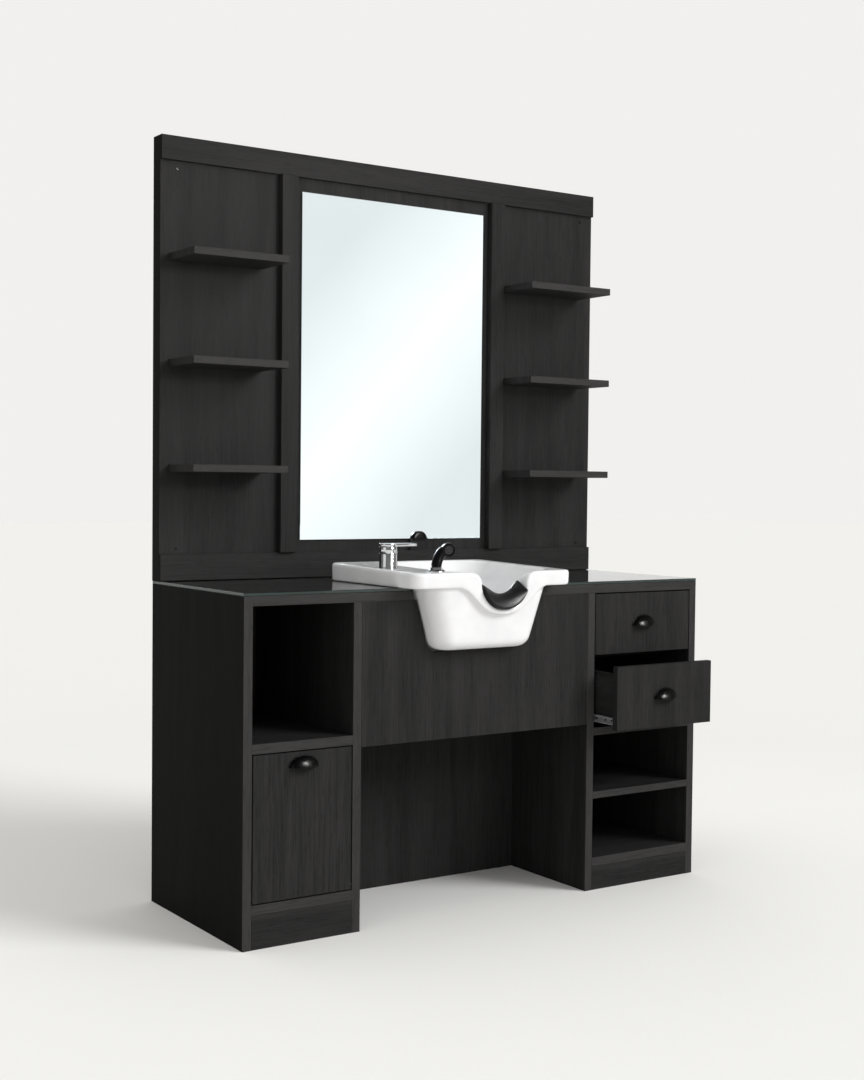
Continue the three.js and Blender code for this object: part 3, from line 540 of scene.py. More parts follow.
def neck_rubber():
    """Moulded black rubber: a dry, soft sheen with a fine speckle, drawn at 2 mm to show."""
    tones, gloss = ("0a0a0b", "131314"), (0.36, 0.44)
    return varied("moulded_black_rubber", tones, 2, gloss, 0.04, Specular_IOR_Level=0.2)


def nozzle_silicone():
    """Moulded grey silicone: matt, and paler than the black face around it."""
    return varied("moulded_grey_silicone", ("57585b", "68696d"), 1.5, (0.4, 0.5), 0.03)


def zinc():
    """Zinc plated and rolled steel: grey, dulled along the rolling direction."""
    tones, gloss, rolled = ("b6b7ba", "d2d3d6"), (0.34, 0.48), (1, 14, 1)
    return varied("zinc_plated_steel", tones, 3, gloss, 0.02, rolled, Metallic=0.75)


def pipe_plastic():
    """Moulded white polypropylene: slightly waxy off-white with flow marks."""
    return varied("moulded_white_polypropylene", ("d5d5d1", "e6e6e3"), 14, (0.36, 0.5), 0.05)


def bin_plastic():
    """Moulded black polypropylene with a leather-like tool grain, drawn at 1.8 mm."""
    return varied("grained_black_polypropylene", ("151516", "202021"), 1.8, (0.48, 0.62), 0.12)


def hardboard():
    """Black faced hardboard: flat and dull, with the faint mottle of pressed fibre."""
    return varied("black_faced_hardboard", ("161616", "212020"), 9, (0.6, 0.75), 0.06)


def silvered_glass():
    """Silvered float glass: a sharp mirror, a touch blue-green from the glass in front of the
    silver."""
    return varied("silvered_float_glass", ("e6f0f3", "e9f3f6"), 300, (0.012, 0.02), Metallic=1.0)


def counter_glass():
    """Polished float glass, 8 mm: clear over the black board, so the top is dark and mirrors at low
    angles, and the long way through its edges shows the iron green of the glass."""
    made, tree, shader, place = new_finish("polished_float_glass")
    height = node(tree, "SeparateXYZ", {0: place}).outputs["Z"]
    middle, reach = (GLASS_LOW + GLASS_HIGH) / 2, (GLASS_HIGH - GLASS_LOW) / 2 - 0.8 * MM
    edge = node(tree, "Math", {0: height, 1: middle, 2: reach}, operation="COMPARE")
    drift = node(tree, "TexNoise", {"Vector": place, "Scale": 9.0, "Detail": 1.0})
    deep, pale, clear = ((*linear(code), 1) for code in ("101a19", "2c423f", "dfeae6"))
    green = node(tree, "Mix", {0: drift, 6: deep, 7: pale}, data_type="RGBA")
    through = {"Value": edge, "To Min": 1.0, "To Max": 0.25}
    feed(tree, shader, {
        "Base Color": node(tree, "Mix", {0: edge, 6: clear, 7: green}, data_type="RGBA"),
        "Transmission Weight": node(tree, "MapRange", through),
        "Roughness": 0.015,
        "IOR": 1.52,
    })
    return made


# Pieces


class STATION_OT_boards(bpy.types.Operator):
    """Stain the boards, each with its grain along the board"""

    bl_idname = "station.boards"
    bl_label = "Boards"

    def execute(self, context):
        sides = ("left", "right")
        upright = [f"{side}_{kind}_panel" for side in sides for kind in ("end", "inner")]
        level = [f"{side}_{kind}" for side in sides for kind in ("base_board", "fixed_shelf")]
        level += ["drawer_divider", "counter_board"]
        shelves = [f"{side}_shelf_{row}" for side in sides for row in ("lower", "middle", "upper")]
        faces = ["apron_panel", "kneehole_back", "back_board", "left_stile", "right_stile"]
        fronts = ["upper_drawer_front", "lower_drawer_front", "hamper_door"]
        rails = ["left_plinth", "right_plinth", "top_rail", "bottom_rail", "drawer_cross_rail"]
        boxes = ["upper_drawer_box", "lower_drawer_box"]
        for solids, name, along, shift, front in (
            (upright, "stained_upright_board", "Z", 0.0, FRONT),
            (level, "stained_level_board", "X", 3.7, FRONT),
            (shelves, "stained_shelf", "X", 7.1, SHELF_FRONT),
            (faces, "stained_face", "Z", 11.3, None),
            (fronts, "stained_front", "Z", 17.9, None),
            (rails, "stained_rail", "X", 23.3, None),
            (boxes, "stained_drawer_side", "Y", 29.9, None),
        ):
            finish(solids, stained_board(name, along, shift, front))
        finish(["base_back_panel", "upper_drawer_bottom", "lower_drawer_bottom"], hardboard())
        return {"FINISHED"}


class STATION_OT_hardware(bpy.types.Operator):
    """Polish the glass top, and finish the slides, the bin and others that keep their shape"""

    bl_idname = "station.hardware"
    bl_label = "Glass, slides and bin"

    def execute(self, context):
        self.glass_sheet()
        slides = [
            f"{row}_drawer_{kind}slide_{side}"
            for row in ("upper", "lower") for kind in ("", "cabinet_") for side in ("left", "right")
        ]
        finish(slides + ["joining_plate", "hamper_pivot_rod"], zinc())
        finish(["hamper_bin"], bin_plastic())
        finish(["drain_strainer"], chrome())
        # The photograph's mirror shows the studio alone
        for row in ("lower", "middle", "upper"):
            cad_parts[f"right_shelf_{row}"].visible_glossy = False
        return {"FINISHED"}

    def glass_sheet(self):
        """The glass top with polished arrises, its underside lifted a hair off the board so that
        the two faces stay apart."""
        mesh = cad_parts["glass_top"].data.copy()
        sheet = bpy.data.objects.new("counter_glass_sheet", mesh)
        bpy.context.scene.collection.objects.link(sheet)
        focus(sheet)
        edit()
        close_skin()
        leave()
        pick(sheet, "verts", lambda v: v.co.z < GLASS_LOW + MM)
        bpy.ops.transform.translate(value=(0, 0, 0.3 * MM))
        leave()
        bpy.ops.mesh.customdata_custom_splitnormals_clear()
        ease(sheet, 0.6)
        bpy.ops.object.shade_flat()
        settle(sheet, "carcass", "counter_glass", counter_glass(), "glass_top")


class STATION_OT_bowl(bpy.types.Operator):
    """Cast the wash bowl, with its basin, its neck notch and the rim's band around the notch"""

    bl_idname = "station.bowl"
    bl_label = "Wash bowl"

    def execute(self, context):
        sizes = context.scene.station_bowl
        bowl = tub(
            "wash_bowl", ((-303, 211), (-83, 365), 885), ((-304, 212), (-84, 366), 926),
            sizes.rim_corner, hem=3 * MM, brow=sizes.rim_round, rise=10,
        )
        body = tub(
            "bowl_body", ((-202, 98), (-58, 240), 718), ((-250, 146), (-74, 315), 890),
            sizes.body_corner, hem=sizes.foot_round,
        )
        combine(bowl, body, "UNION")
        combine(bowl, self.band(), "UNION")
        basin = tub(
            "basin", ((-134, 92), (-30, 242), 733), ((-168, 158), (-52, 316), 934),
            sizes.basin_corner, hem=sizes.basin_round,
        )
        combine(bowl, basin, "DIFFERENCE")
        mouth = tub(
            "mouth", ((-162, 140), (-48, 304), 888), ((-180, 184), (-66, 330), 946),
            sizes.basin_corner,
        )
        combine(bowl, mouth, "DIFFERENCE")
        combine(bowl, self.notch(), "DIFFERENCE")
        drain = [(0, 0), (21, 0), (21, 60), (0, 60)]
        combine(bowl, spun("drain", drain, at(BOWL_MIDDLE, 150, 700), 40), "DIFFERENCE")
        socket = [(0, 0), (12, 0), (12, 60), (0, 60)]
        combine(bowl, spun("socket", socket, at(-195, -15, 886), 40), "DIFFERENCE")
        cast(bowl, sizes.skin, sizes.passes)
        settle(bowl, "carcass", "ceramic", glaze(), "bowl")
        return {"FINISHED"}

    def band(self):
        """The rim's band, which dips around the notch as a rolled collar."""
        half = bezier((-138, 884), (-112, 877), (-98, 856), (-74, 836), 8)
        half += bezier((-74, 836), (-54, 818), (-28, 812), (0, 812), 8)
        other = [(-x, z) for x, z in reversed(half)]
        outline = [(-138, 900)] + half + [(0, 812)] + other + [(138, 900)]
        points = [at(BOWL_MIDDLE + x, RIM_FRONT, z) for x, z in outline]
        return plate("rim_band", points, Vector((0, 44 * MM, 0)))

    def notch(self):
        """The opening for the neck, round below and flared into the rim above."""
        side, height = -NOTCH_RADIUS, NOTCH_HEIGHT
        half = bezier((-112, 926), (-92, 926), (side, 916), (side, height), 8)
        low = arc((0, height), NOTCH_RADIUS, pi, 2 * pi, 32)
        other = [(-x, z) for x, z in reversed(half)]
        outline = [(-112, 980)] + half + low + other + [(112, 980)]
        points = [at(BOWL_MIDDLE + x, -130, z) for x, z in outline]
        return plate("notch", points, Vector((0, 112 * MM, 0)))


class STATION_OT_neck_rest(bpy.types.Operator):
    """Mould the rubber neck rest that lies in the notch"""

    bl_idname = "station.neck_rest"
    bl_label = "Neck rest"

    def execute(self, context):
        sizes = context.scene.station_bowl
        centre = at(BOWL_MIDDLE, 0, NOTCH_HEIGHT)
        reach, sweep = NOTCH_RADIUS - 0.3, 1.6
        profile = [
            (-45, 0), (-42, 15), (-44, 30), (-51, 40), (-61, 43), (-72, 42), (-82, 36), (-90, 26),
            (-95, 14), (-97, 5), (-94, 0),
        ]
        start = []
        for y, inward in profile:
            radius = reach - inward
            x, z = BOWL_MIDDLE - radius * sin(sweep), NOTCH_HEIGHT - radius * cos(sweep)
            start.append(at(x, y, z))
        rest = ring("neck_rest_pad", start)
        bpy.ops.mesh.spin(steps=sizes.rest_steps, angle=2 * sweep, center=centre, axis=(0, 1, 0))
        leave()
        # The ends thin out, and are cut back towards the front
        thinning, tip_thinning, cut_back = 0.45, 0.3, 0.22
        cut_from, cut_over = at(0, -50, 0).y, 47 * MM
        for vertex in rest.data.vertices:
            away = vertex.co - centre
            angle = atan2(away.x, -away.z)
            inward = reach * MM - hypot(away.x, away.z)
            out = angle / sweep
            radius = reach * MM - inward * (1 - thinning * out**2 - tip_thinning * out**10)
            forward = min(1, max(0, (cut_from - vertex.co.y) / cut_over))
            turn = angle * (1 - cut_back * forward)
            vertex.co.x, vertex.co.z = centre.x + radius * sin(turn), centre.z - radius * cos(turn)
        pick(rest, "edges", lambda e: e.is_boundary)
        bpy.ops.mesh.fill_holes(sides=0)
        close_skin()
        leave()
        pick(rest, "faces", lambda f: len(f.verts) == len(profile))
        bpy.ops.mesh.inset(thickness=5 * MM)
        leave()
        apply(rest, "SUBSURF", levels=2, render_levels=2)
        smooth(rest, 60)
        settle(rest, "carcass", "rubber", neck_rubber(), "neck_rest")
        return {"FINISHED"}


class STATION_OT_pulls(bpy.types.Operator):
    """Press the cup pulls: one is modelled and copied to the door and the drawers"""

    bl_idname = "station.pulls"
    bl_label = "Cup pulls"

    def execute(self, context):
        sizes = context.scene.station_pulls
        pull = added(
            "pull_blank", bpy.ops.mesh.primitive_uv_sphere_add,
            segments=64, ring_count=32, radius=1, scale=(sizes.half, sizes.deep, sizes.tall),
        )
        bpy.ops.object.transform_apply()
        edit()
        for normal, outer in (((0, 1, 0), True), ((0, 0, 1), False)):
            bpy.ops.mesh.select_all(action="SELECT")
            kept = {"clear_outer": outer, "clear_inner": not outer}
            bpy.ops.mesh.bisect(plane_co=ORIGIN, plane_no=normal, threshold=1e-6, **kept)
        leave()
        pick(pull, "edges", lambda e: e.is_boundary and all(abs(v.co.y) < 1e-5 for v in e.verts))
        bpy.ops.mesh.extrude_region_move()
        spread = (1 + sizes.lip / sizes.half, 1, 1 + sizes.lip / sizes.tall)
        bpy.ops.transform.resize(value=spread, center_override=ORIGIN)
        bpy.ops.mesh.select_all(action="SELECT")
        bpy.ops.mesh.remove_doubles(threshold=1e-6)
        leave()
        self.face_outwards(pull)
        # The lower edge bows down between its raised ends
        ends, bow = 4 * MM, 5 * MM
        for vertex in pull.data.vertices:
            spread = max(0, 1 - (vertex.co.x / sizes.half) ** 2)
            low = 1 - vertex.co.z / (sizes.tall + sizes.lip)
            vertex.co.z += (ends - bow * spread) * low
        apply(pull, "SOLIDIFY", thickness=sizes.wall, offset=-1, use_even_offset=True)
        ease(pull, 0.55, 3)
        smooth(pull, 40)
        material = enamel()
        lift = 6.5 * MM
        for body in ("hamper", "upper_drawer", "lower_drawer"):
            low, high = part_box(f"{body}_pull")
            foot = Vector(((low.x + high.x) / 2, high.y - sizes.wall, low.z + lift))
            made = copy_of(pull, f"{body}_cup_pull", foot)
            settle(made, body, "pull_black", material, f"{body}_pull")
        bpy.data.objects.remove(pull)
        return {"FINISHED"}

    def face_outwards(self, pull):
        """Turn the open shell's faces to the front and top, where its outside is."""
        ahead = Vector((0, -1, 0)) * MM
        pick(pull, "faces", lambda f: f.normal.dot(f.calc_center_median() + ahead) < 0)
        bpy.ops.mesh.flip_normals()
        leave()


class STATION_OT_mixer(bpy.types.Operator):
    """Turn the mixer's body and cap, and cut its lever and the stem that swings in the cap"""

    bl_idname = "station.mixer"
    bl_label = "Mixer"
    # Where the lever's underside meets the back of the cap, in millimetres from the mixer's foot
    hinge = (-24.5, 59.3)

    def execute(self, context):
        sizes = context.scene.station_fittings
        foot = stand("mixer_body")
        r = sizes.mixer / MM
        plating = chrome()
        body = spun(
            "mixer_column",
            [(0, 0), (26, 0), (26, 1.6), (25.6, 2.4), (r + 0.4, 3.4), (r, 4.6), (r, 38.6),
             (r - 0.4, 39.6), (r - 1.2, 40), (0, 40)],
            foot, 96,
        )
        settle(body, "carcass", "chrome", plating, "mixer_body")
        cap = spun(
            "mixer_turning_cap",
            [(0, 40.3), (r - 1.2, 40.3), (r - 0.4, 40.6), (r, 41.4), (r, 57), (r - 0.5, 58.3),
             (r - 1.6, 59), (0, 59)],
            foot, 96,
        )
        combine(cap, self.stem("slot", foot, 0.5, 0.3), "DIFFERENCE")
        smooth(cap)
        settle(cap, "mixer_cap", "chrome", plating, "mixer_cap")
        lever = plate("mixer_paddle", self.paddle(foot, sizes.lever / MM), Vector((0, 0, 8 * MM)))
        ease(lever, 1.3, 4)
        combine(lever, self.stem("stem", foot, 0, 0.06), "UNION")
        smooth(lever)
        settle(lever, "mixer_lever", "chrome", plating, "mixer_lever")
        return {"FINISHED"}

    def stem(self, name, foot, grow, high):
        """The lever's stem, a slice of a ring about the lever's hinge; grown a little, it is the
        cap's slot."""
        low = -0.48 - grow * 0.03
        outer, inner, half = 32 + grow, 14 - grow, 7 + grow
        outline = arc(self.hinge, outer, low, high, 10) + arc(self.hinge, inner, high, low, 10)
        points = [foot + Vector((x, -half, z)) * MM for x, z in outline]
        return plate(name, points, Vector((0, 2 * half * MM, 0)))

    def paddle(self, foot, reach):
        """The lever's outline in plan: round over the cap, narrowing to a square-ended grip."""
        back, under = self.hinge
        near = bezier((reach - 4, 13), (50, 14), (30, 20), (8, 23), 8)
        near += bezier((8, 23), (-10, 25), (back, 16), (back, 0), 12)
        far = [(x, -y) for x, y in reversed(near)]
        tip = arc((reach - 4, -9), 4, -pi / 2, 0, 4) + arc((reach - 4, 9), 4, 0, pi / 2, 4)
        outline = near[1:] + [(back, 0)] + far[:-1] + tip
        return [foot + Vector((x, y, under)) * MM for x, y in outline]


class STATION_OT_hand_spray(bpy.types.Operator):
    """Mould the hand spray with its nozzles, and turn the collar that it stands in"""

    bl_idname = "station.hand_spray"
    bl_label = "Hand spray"

    def execute(self, context):
        sizes = context.scene.station_fittings
        foot = stand("handset_collar")
        collar = spun(
            "spray_collar",
            [(11, 0), (24.5, 0), (24.5, 1.4), (24, 2.2), (21, 3.6), (18, 5.6), (16.3, 8.2),
             (15.4, 10.4), (14.8, 11.2), (14, 11.5), (11.6, 11.5), (11, 11)],
            foot, 80,
        )
        settle(collar, "carcass", "chrome", chrome(), "handset_collar")
        r = sizes.head / MM
        route = ((0, 0, 14), (2, 0, 24), (8, 0, 38), (17, -2, 51), (29, -5, 58), (34, -3, 59))
        points = [foot + Vector(p) * MM for p in route]
        spray = bent(points, sizes.handle, "hand_spray", True)
        spigot = [
            (0, -37), (10.4, -37), (10.4, 11.8), (12.6, 11.8), (12.9, 12.6), (12.9, 17), (0, 19)
        ]
        stem = spun("spray_foot", spigot, foot, 48)
        head = spun(
            "spray_head",
            [(0, 0), (9, 1), (15, 4.5), (r - 0.6, 10), (r, 15), (r, 23), (r - 0.8, 24.4),
             (r - 2, 24.6), (r - 3, 24.2), (r - 3.6, 22.6), (0, 22.6)],
            ORIGIN, 64,
        )
        aside, lean = -0.36, 0.1
        tilt = Matrix.Rotation(aside, 4, "Z") @ Matrix.Rotation(pi / 2 + lean, 4, "X")
        place = Matrix.Translation(foot + Vector((34, 2, 59)) * MM) @ tilt
        head.data.transform(place)
        spray = merge([spray, stem, head], "hand_spray")
        cast(spray, 0.8 * MM, 3)
        black = moulded_black()
        settle(spray, "handset", "black_plastic", black, "handset")
        face, nozzles = self.spray_face(r - 3.8)
        face.data.transform(place)
        nozzles.data.transform(place)
        settle(face, "handset", "black_plastic", black)
        settle(nozzles, "handset", "rubber", nozzle_silicone())
        return {"FINISHED"}

    def spray_face(self, radius):
        """The face plate, a dished disc, and its rings of small soft nozzles."""
        dish = [(radius - 1, 23.4), (radius - 2.4, 23.2), (0, 23.6)]
        disc = [(0, 22.2), (radius, 22.2), (radius, 23)] + dish
        face = spun("spray_face", disc, ORIGIN, 48)
        parts = []
        tip = [(0, 22.8), (1.3, 22.8), (1.1, 24.1), (0.6, 24.4), (0, 24.2)]
        nozzle = spun("nozzle", tip, ORIGIN, 12)
        for away, count in ((0, 1), (4.6, 6), (9.2, 12)):
            for i in range(count):
                turn = 2 * pi * i / count
                shift = Vector((away * cos(turn), away * sin(turn), 0)) * MM
                parts.append(copy_of(nozzle, "nozzle_copy", shift))
        bpy.data.objects.remove(nozzle)
        return face, merge(parts, "spray_nozzles")


class STATION_OT_waste_pipe(bpy.types.Operator):
    """Mould the waste pipe: a swan neck with a ribbed slip nut under the drain"""

    bl_idname = "station.waste_pipe"
    bl_label = "Waste pipe"

    def execute(self, context):
        sizes = context.scene.station_fittings
        route = [(150, 690), (150, 665)]
        route += arc((190, 640), 40, pi, 2 * pi, 8)
        route += arc((260, 650), 30, pi, pi / 2, 4)
        route += [(345, 680), (430, 680)]
        pipe = bent([at(BOWL_MIDDLE, y, z) for y, z in route], sizes.pipe, "waste_pipe", False)
        apply(pipe, "SOLIDIFY", thickness=2.5 * MM, offset=-1)
        smooth(pipe, 50)
        plastic = pipe_plastic()
        settle(pipe, "carcass", "pipe_plastic", plastic, "waste_trap")
        settle(self.nut(), "carcass", "pipe_plastic", plastic)
        return {"FINISHED"}

    def nut(self):
        """The slip nut, with flats for the fingers all round."""
        sides, depth, low = 14, 150, 684
        rim = []
        for i in range(sides):
            for turn, radius in ((0.0, 26), (0.55, 26), (0.65, 24.6), (0.9, 24.6)):
                angle = 2 * pi * (i + turn) / sides
                rim.append(at(BOWL_MIDDLE + radius * cos(angle), depth + radius * sin(angle), low))
        nut = plate("slip_nut", rim, Vector((0, 0, 30 * MM)))
        bore = [(0, -5), (20.8, -5), (20.8, 45), (0, 45)]
        combine(nut, spun("nut_bore", bore, at(BOWL_MIDDLE, depth, low), 48), "DIFFERENCE")
        ease(nut, 0.7, degrees=40)
        smooth(nut, 40)
        return nut


class STATION_OT_mirror(bpy.types.Operator):
    """Cut the mirror with its polished arris, and mould the domed cable cover at its foot"""

    bl_idname = "station.mirror"
    bl_label = "Mirror and cable cover"

    def execute(self, context):
        sizes = context.scene.station_fittings
        low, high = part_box("mirror")
        step = 0.4 * MM
        glass = block("mirror_sheet", Vector((low.x, low.y + step, low.z)), high)
        pick(glass, "faces", lambda f: f.normal.y < -0.9)
        bpy.ops.mesh.inset(thickness=sizes.arris)
        bpy.ops.transform.translate(value=(0, -step, 0))
        leave()
        settle(glass, "carcass", "mirror_glass", silvered_glass(), "mirror")
        settle(self.cover(), "carcass", "black_plastic", moulded_black(), "cable_port")
        settle(self.tongue(), "carcass", "stained_board", bpy.data.materials["stained_rail"])
        return {"FINISHED"}

    def cover(self):
        """A half-round cover with a softly domed face, over the mirror's lower edge."""
        low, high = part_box("cable_port")
        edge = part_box("mirror")[0].z
        radius = 26 * MM
        middle, centre = (low.x + high.x) / 2, high.z - radius
        foot = asin((edge - centre) / radius)
        outline = arc((middle, centre), radius, foot, pi - foot, 32)
        points = [Vector((x, high.y, z)) for x, z in outline]
        cover = plate("cable_cover", points, Vector((0, low.y - high.y + 4 * MM, 0)))
        pick(cover, "faces", lambda f: f.normal.y < -0.9)
        for shrink, push in ((0.95, 1.4), (0.9, 1.2), (0.82, 0.9), (0.66, 0.4)):
            out = {"value": (0, -push * MM, 0)}
            bpy.ops.mesh.extrude_region_move(TRANSFORM_OT_translate=out)
            about = (middle, high.y, edge)
            bpy.ops.transform.resize(value=(shrink, 1, shrink), center_override=about)
        leave()
        smooth(cover, 50)
        return cover

    def tongue(self):
        """The cover's foot, an arched plate let into the bottom rail and flush with its face."""
        low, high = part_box("cable_port")
        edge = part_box("mirror")[0].z
        half = (high.x - low.x) / 2
        middle, spring = low.x + half, high.z - half
        turn = asin((edge - spring) / half)
        outline = [(middle + half, low.z)] + arc((middle, spring), half, 0, turn, 8)
        outline += arc((middle, spring), half, pi - turn, pi, 8) + [(middle - half, low.z)]
        depth = Vector((0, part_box("bottom_rail")[0].y - high.y, 0))
        tongue = plate("cable_cover_foot", [Vector((x, high.y, z)) for x, z in outline], depth)
        ease(tongue, 0.5)
        smooth(tongue, 40)
        return tongue


class STATION_OT_screws(bpy.types.Operator):
    """Drive the screws of the slides, the rear sheet and the joining plate, and cap the panel's"""

    bl_idname = "station.screws"
    bl_label = "Screws"

    def execute(self, context):
        radius = context.scene.station_fittings.screw / MM
        crown = [(radius, 0.4), (radius - 0.7, 1.3), (radius - 2, 1.9), (0, 2.1)]
        head = spun("screw_head", [(0, -0.6), (radius, -0.6)] + crown, ORIGIN, 20)
        for turn in (0, pi / 2):
            slot = block("slot", Vector((-2.6, -0.45, 0.9)) * MM, Vector((2.6, 0.45, 4)) * MM)
            slot.data.transform(Matrix.Rotation(turn, 4, "Z"))
            combine(head, slot, "DIFFERENCE")
        smooth(head)
        self.slide_screws(head, enamel())
        self.back_screws(head, zinc())
        bpy.data.objects.remove(head)
        self.caps()
        return {"FINISHED"}

    def drive(self, head, spots, turn, name):
        """Copies of a head at spots, each turned the same way, as one piece."""
        made = []
        for spot in spots:
            screw = copy_of(head, "screw", ORIGIN)
            screw.data.transform(Matrix.Translation(spot) @ turn)
            made.append(screw)
        return merge(made, name)

    def slide_screws(self, head, hole_shade_black):
        """Screws through each drawer slide's web, seen in its channel when the drawer is out."""
        small = copy_of(head, "small_head", ORIGIN)
        small.data.transform(Matrix.Diagonal((0.72, 0.72, 0.72, 1)))
        for row in ("upper", "lower"):
            for side, way in (("left", -1), ("right", 1)):
                low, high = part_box(f"{row}_drawer_slide_{side}")
                web = (high.x if way < 0 else low.x) + way * 1.2 * MM
                middle = (low.z + high.z) / 2
                holes = (12, 38, 76, 240, 410)
                spots = [Vector((web, low.y + along * MM, middle)) for along in holes]
                turn = Matrix.Rotation(way * pi / 2, 4, "Y")
                screws = self.drive(small, spots, turn, f"{row}_slide_screws_{side}")
                # The screw heads are real; their black is painted shade, standing in for the dark
                # screw holes in the slide's web
                settle(screws, f"{row}_drawer", "steel", hole_shade_black)
        bpy.data.objects.remove(small)

    def back_screws(self, head, steel):
        """Screws behind, sunk flush: through the joining plate and around the rear sheet."""
        turn = Matrix.Rotation(-pi / 2, 4, "X")
        for name, depth, columns, rows in (
            ("joining_plate_screws", 552.9, (-270, -90, 90, 270), (846, 924)),
            ("rear_sheet_screws", 550.7, (-714, -424, 349, 714), (60, 300, 560, 800)),
        ):
            spots = [at(x, depth, z) for x in columns for z in rows]
            settle(self.drive(head, spots, turn, name), "carcass", "steel", steel)

    def caps(self):
        """Small black caps over the screws that hold the mirror panel's side fields."""
        profile = [(0, 0), (4.4, 0), (4.4, 0.5), (3.8, 0.9), (2.4, 0.9), (1.8, 0.4), (0, 0.4)]
        cap = spun("cap", profile, ORIGIN, 24)
        turn = Matrix.Rotation(pi / 2, 4, "X")
        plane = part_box("back_board")[0].y
        corners = [(x, z) for x in (-700, 702) for z in (2004, 974)]
        spots = [Vector((x * MM, plane, z * MM)) for x, z in corners]
        caps = self.drive(cap, spots, turn, "mirror_panel_screw_caps")
        bpy.data.objects.remove(cap)
        settle(caps, "carcass", "black_plastic", moulded_black())


class STATION_OT_stage(bpy.types.Operator):
    """Lay the pale floor, set the soft lights and place the camera at the photograph's angle"""

    bl_idname = "station.stage"
    bl_label = "Studio"

    def execute(self, context):
        look = context.scene.station_studio
        context.scene.view_settings.view_transform = "Standard"
        floor = added("studio_floor", bpy.ops.mesh.primitive_plane_add, size=80)
        floor.data.materials.append(self.paper(look))
        self.air(context.scene, look)
        self.key_light(look)
        self.sheen_card(look)
        self.soft_box(look)
        self.side_card(look)
        self.camera(context.scene, look)
        return {"FINISHED"}

    def paper(self, look):
        """Seamless studio paper: matt and even, a shade deeper far from the object so that it meets
        the backdrop."""
        made, tree, shader, place = new_finish("seamless_paper")
        mottle = node(tree, "TexNoise", {"Vector": place, "Scale": 2.5})
        even = node(tree, "MapRange", {"Value": mottle, "To Min": 0.985, "To Max": 1.0})
        # Painted shade: the paper's tone is lowered from 1.2 m to 3.2 m from the object, so that
        # the far floor meets the backdrop
        away = node(tree, "VectorMath", {0: place}, operation="LENGTH")
        reach = {"Value": away, "From Min": 1.2, "From Max": 3.2, "To Min": 1.0, "To Max": 0.94}
        deeper = node(tree, "MapRange", reach, interpolation_type="SMOOTHSTEP")
        shade = node(tree, "Math", {0: even, 1: deeper}, operation="MULTIPLY")
        tone = {0: 1.0, 6: (*look.paper, 1), 7: shade}
        paper = node(tree, "Mix", tone, data_type="RGBA", blend_type="MULTIPLY")
        feed(tree, shader, {"Base Color": paper, "Roughness": 0.85, "Specular IOR Level": 0.0})
        return made

    def air(self, scene, look):
        """Light from all round, weaker than the backdrop looks, so that the key light models the
        object. Shiny things see the pale backdrop behind and a dark studio in front."""
        world = bpy.data.worlds.new("studio_air")
        world.use_nodes = True
        scene.world = world
        tree = world.node_tree
        tree.nodes.clear()
        ray = node(tree, "LightPath").outputs
        way = node(tree, "TexCoord").outputs["Generated"]
        behind = {0: way, 1: (0.56, 0.83, 0)}
        turned = node(tree, "VectorMath", behind, operation="DOT_PRODUCT")
        fade = {"Value": turned, "From Min": 0.3, "From Max": 0.75, "To Min": look.surround}
        shown = node(tree, "MapRange", fade, interpolation_type="SMOOTHSTEP")
        lit = node(tree, "Mix", {0: ray["Is Glossy Ray"], 2: look.fill, 3: shown})
        strength = node(tree, "Mix", {0: ray["Is Camera Ray"], 2: lit, 3: 1.0})
        light = node(tree, "Background", {"Color": (*look.air, 1), "Strength": strength})
        node(tree, "OutputWorld", {"Surface": light})

    def key_light(self, look):
        """The main soft light, from the front and right."""
        key = added("key_light", bpy.ops.object.light_add, type="SUN")
        key.data.energy = look.key
        key.data.angle = look.spread
        travel = Vector((-0.65, 0.75, -0.62))
        key.rotation_euler = travel.to_track_quat("-Z", "Y").to_euler()
        # Shiny pieces show the soft box instead
        key.visible_glossy = False

    def card(self, name, width, height, turn, middle):
        """A card that only shiny pieces see; gives its finish's tree and object coordinates."""
        card = added(name, bpy.ops.mesh.primitive_plane_add, size=1)
        upright = Matrix.Rotation(turn, 4, "Z") @ Matrix.Rotation(pi / 2, 4, "X")
        card.data.transform(Matrix.Diagonal((width, height, 1, 1)))
        card.data.transform(Matrix.Translation(middle) @ upright)
        card.visible_camera = card.visible_diffuse = card.visible_shadow = False
        made, tree, shader, place = new_finish(name)
        tree.nodes.remove(shader)
        card.data.materials.append(made)
        return tree, place

    def lit(self, tree, look, strength):
        """Make a card glow."""
        glow = node(tree, "Emission", {"Color": (*look.air, 1), "Strength": strength})
        feed(tree, tree.nodes["Material Output"], {"Surface": glow})

    def sheen_card(self, look):
        """A card in front and to the right, which the mirror shows as a diagonal sheen."""
        middle = Vector((2.445, -3.567, 1.83))
        tree, place = self.card("sheen_card", 2.1, 3.0, 0, middle)
        from_middle = node(tree, "VectorMath", {0: place, 1: middle}, operation="SUBTRACT")
        slant = {0: from_middle, 1: Vector((1, 0, -0.94)).normalized()}
        across = node(tree, "VectorMath", slant, operation="DOT_PRODUCT")
        off = node(tree, "Math", {0: across}, operation="ABSOLUTE")
        fade = {"Value": off, "From Min": 0.0, "From Max": 0.74, "To Min": 1.43, "To Max": 1.09}
        self.lit(tree, look, node(tree, "MapRange", fade))

    def soft_box(self, look):
        """The key light as shiny pieces show it: brightest in its middle, fading to its edges."""
        middle = Vector((1.0, -3.6, 2.3))
        tree, place = self.card("soft_box", 1.5, 1.5, 0, middle)
        away = node(tree, "VectorMath", {0: place, 1: middle}, operation="DISTANCE")
        fade = {"Value": away, "From Min": 0.1, "From Max": 0.74, "To Min": look.core, "To Max": 0}
        self.lit(tree, look, node(tree, "MapRange", fade, interpolation_type="SMOOTHSTEP"))

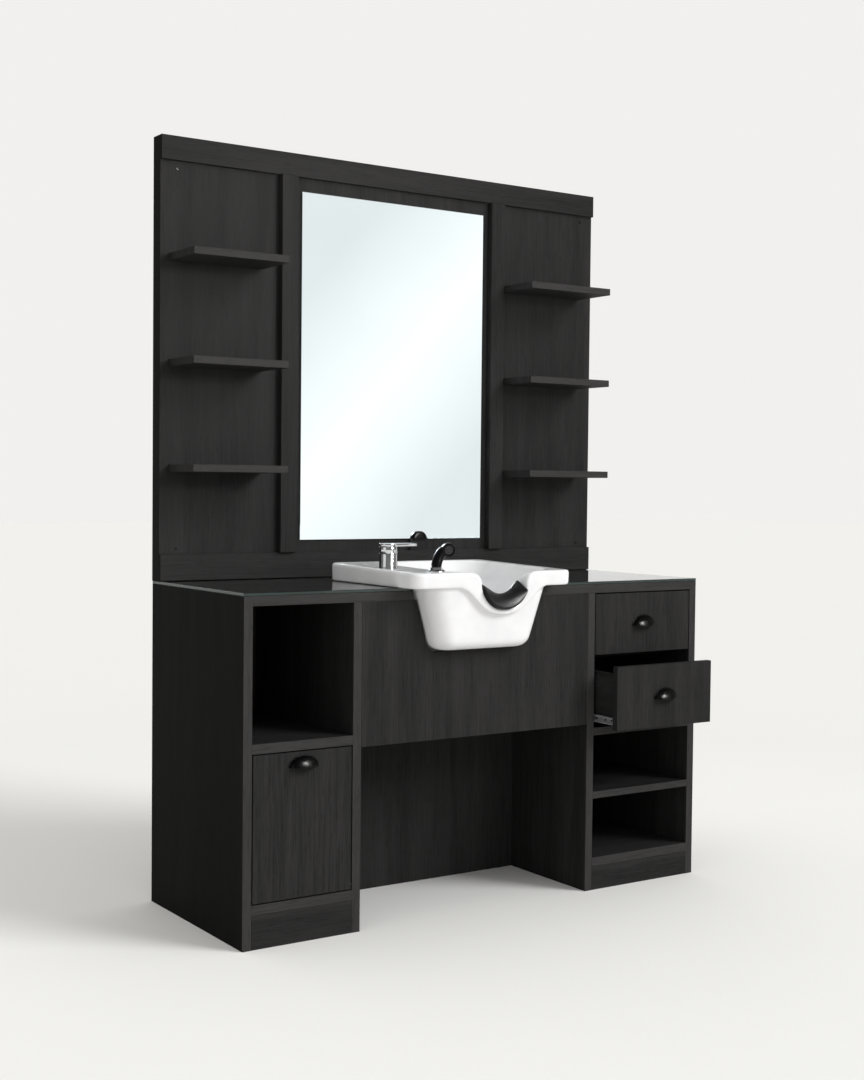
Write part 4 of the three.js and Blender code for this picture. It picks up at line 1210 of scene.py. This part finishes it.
    def side_card(self, look):
        """A plain card to the left, which gives the chrome a pale side."""
        tree, _ = self.card("side_card", 2.0, 2.2, pi / 2, Vector((-3.6, -0.7, 1.3)))
        self.lit(tree, look, 1.0)

    def camera(self, scene, look):
        """A camera at the photograph's angle."""
        yaw, pitch, roll = radians(33.81), radians(1.97), radians(0.57)
        ahead = Vector((sin(yaw) * cos(pitch), cos(yaw) * cos(pitch), -sin(pitch)))
        right = Vector((cos(yaw), -sin(yaw), 0))
        up = right.cross(ahead)
        right, up = right * cos(roll) + up * sin(roll), up * cos(roll) - right * sin(roll)
        camera = added("photo_camera", bpy.ops.object.camera_add)
        camera.data.lens = look.lens
        camera.data.sensor_width = 36
        turn = Matrix((right, up, -ahead)).transposed().to_4x4()
        spot = Vector((-2.443, -3.5665, 1.148))
        camera.matrix_world = Matrix.Translation(spot) @ turn
        scene.camera = camera


class STATION_PT_panel(bpy.types.Panel):
    """The station's pieces and what can be changed"""

    bl_label = "Salon wash station"
    bl_idname = "STATION_PT_panel"
    bl_space_type = "VIEW_3D"
    bl_region_type = "UI"
    bl_category = "Station"

    def draw(self, context):
        for operator in OPERATORS:
            self.layout.operator(operator.bl_idname)
        for name in SETTINGS:
            group = getattr(context.scene, name)
            box = self.layout.box()
            for prop in group.__annotations__:
                box.prop(group, prop)


SETTINGS = {
    "station_boards": BoardLook,
    "station_bowl": BowlSizes,
    "station_pulls": PullSizes,
    "station_fittings": FittingSizes,
    "station_studio": StudioLook,
}
OPERATORS = (
    STATION_OT_boards,
    STATION_OT_hardware,
    STATION_OT_bowl,
    STATION_OT_neck_rest,
    STATION_OT_pulls,
    STATION_OT_mixer,
    STATION_OT_hand_spray,
    STATION_OT_waste_pipe,
    STATION_OT_mirror,
    STATION_OT_screws,
    STATION_OT_stage,
)


def register():
    for group in (*SETTINGS.values(), *OPERATORS, STATION_PT_panel):
        bpy.utils.register_class(group)
    for name, group in SETTINGS.items():
        setattr(bpy.types.Scene, name, PointerProperty(type=group))


def unregister():
    for name in SETTINGS:
        delattr(bpy.types.Scene, name)
    for group in reversed((*SETTINGS.values(), *OPERATORS, STATION_PT_panel)):
        bpy.utils.unregister_class(group)


def main():
    register()
    bpy.ops.station.boards()
    bpy.ops.station.hardware()
    bpy.ops.station.bowl()
    bpy.ops.station.neck_rest()
    bpy.ops.station.pulls()
    bpy.ops.station.mixer()
    bpy.ops.station.hand_spray()
    bpy.ops.station.waste_pipe()
    bpy.ops.station.mirror()
    bpy.ops.station.screws()
    bpy.ops.station.stage()


if __name__ == "__main__":
    main()
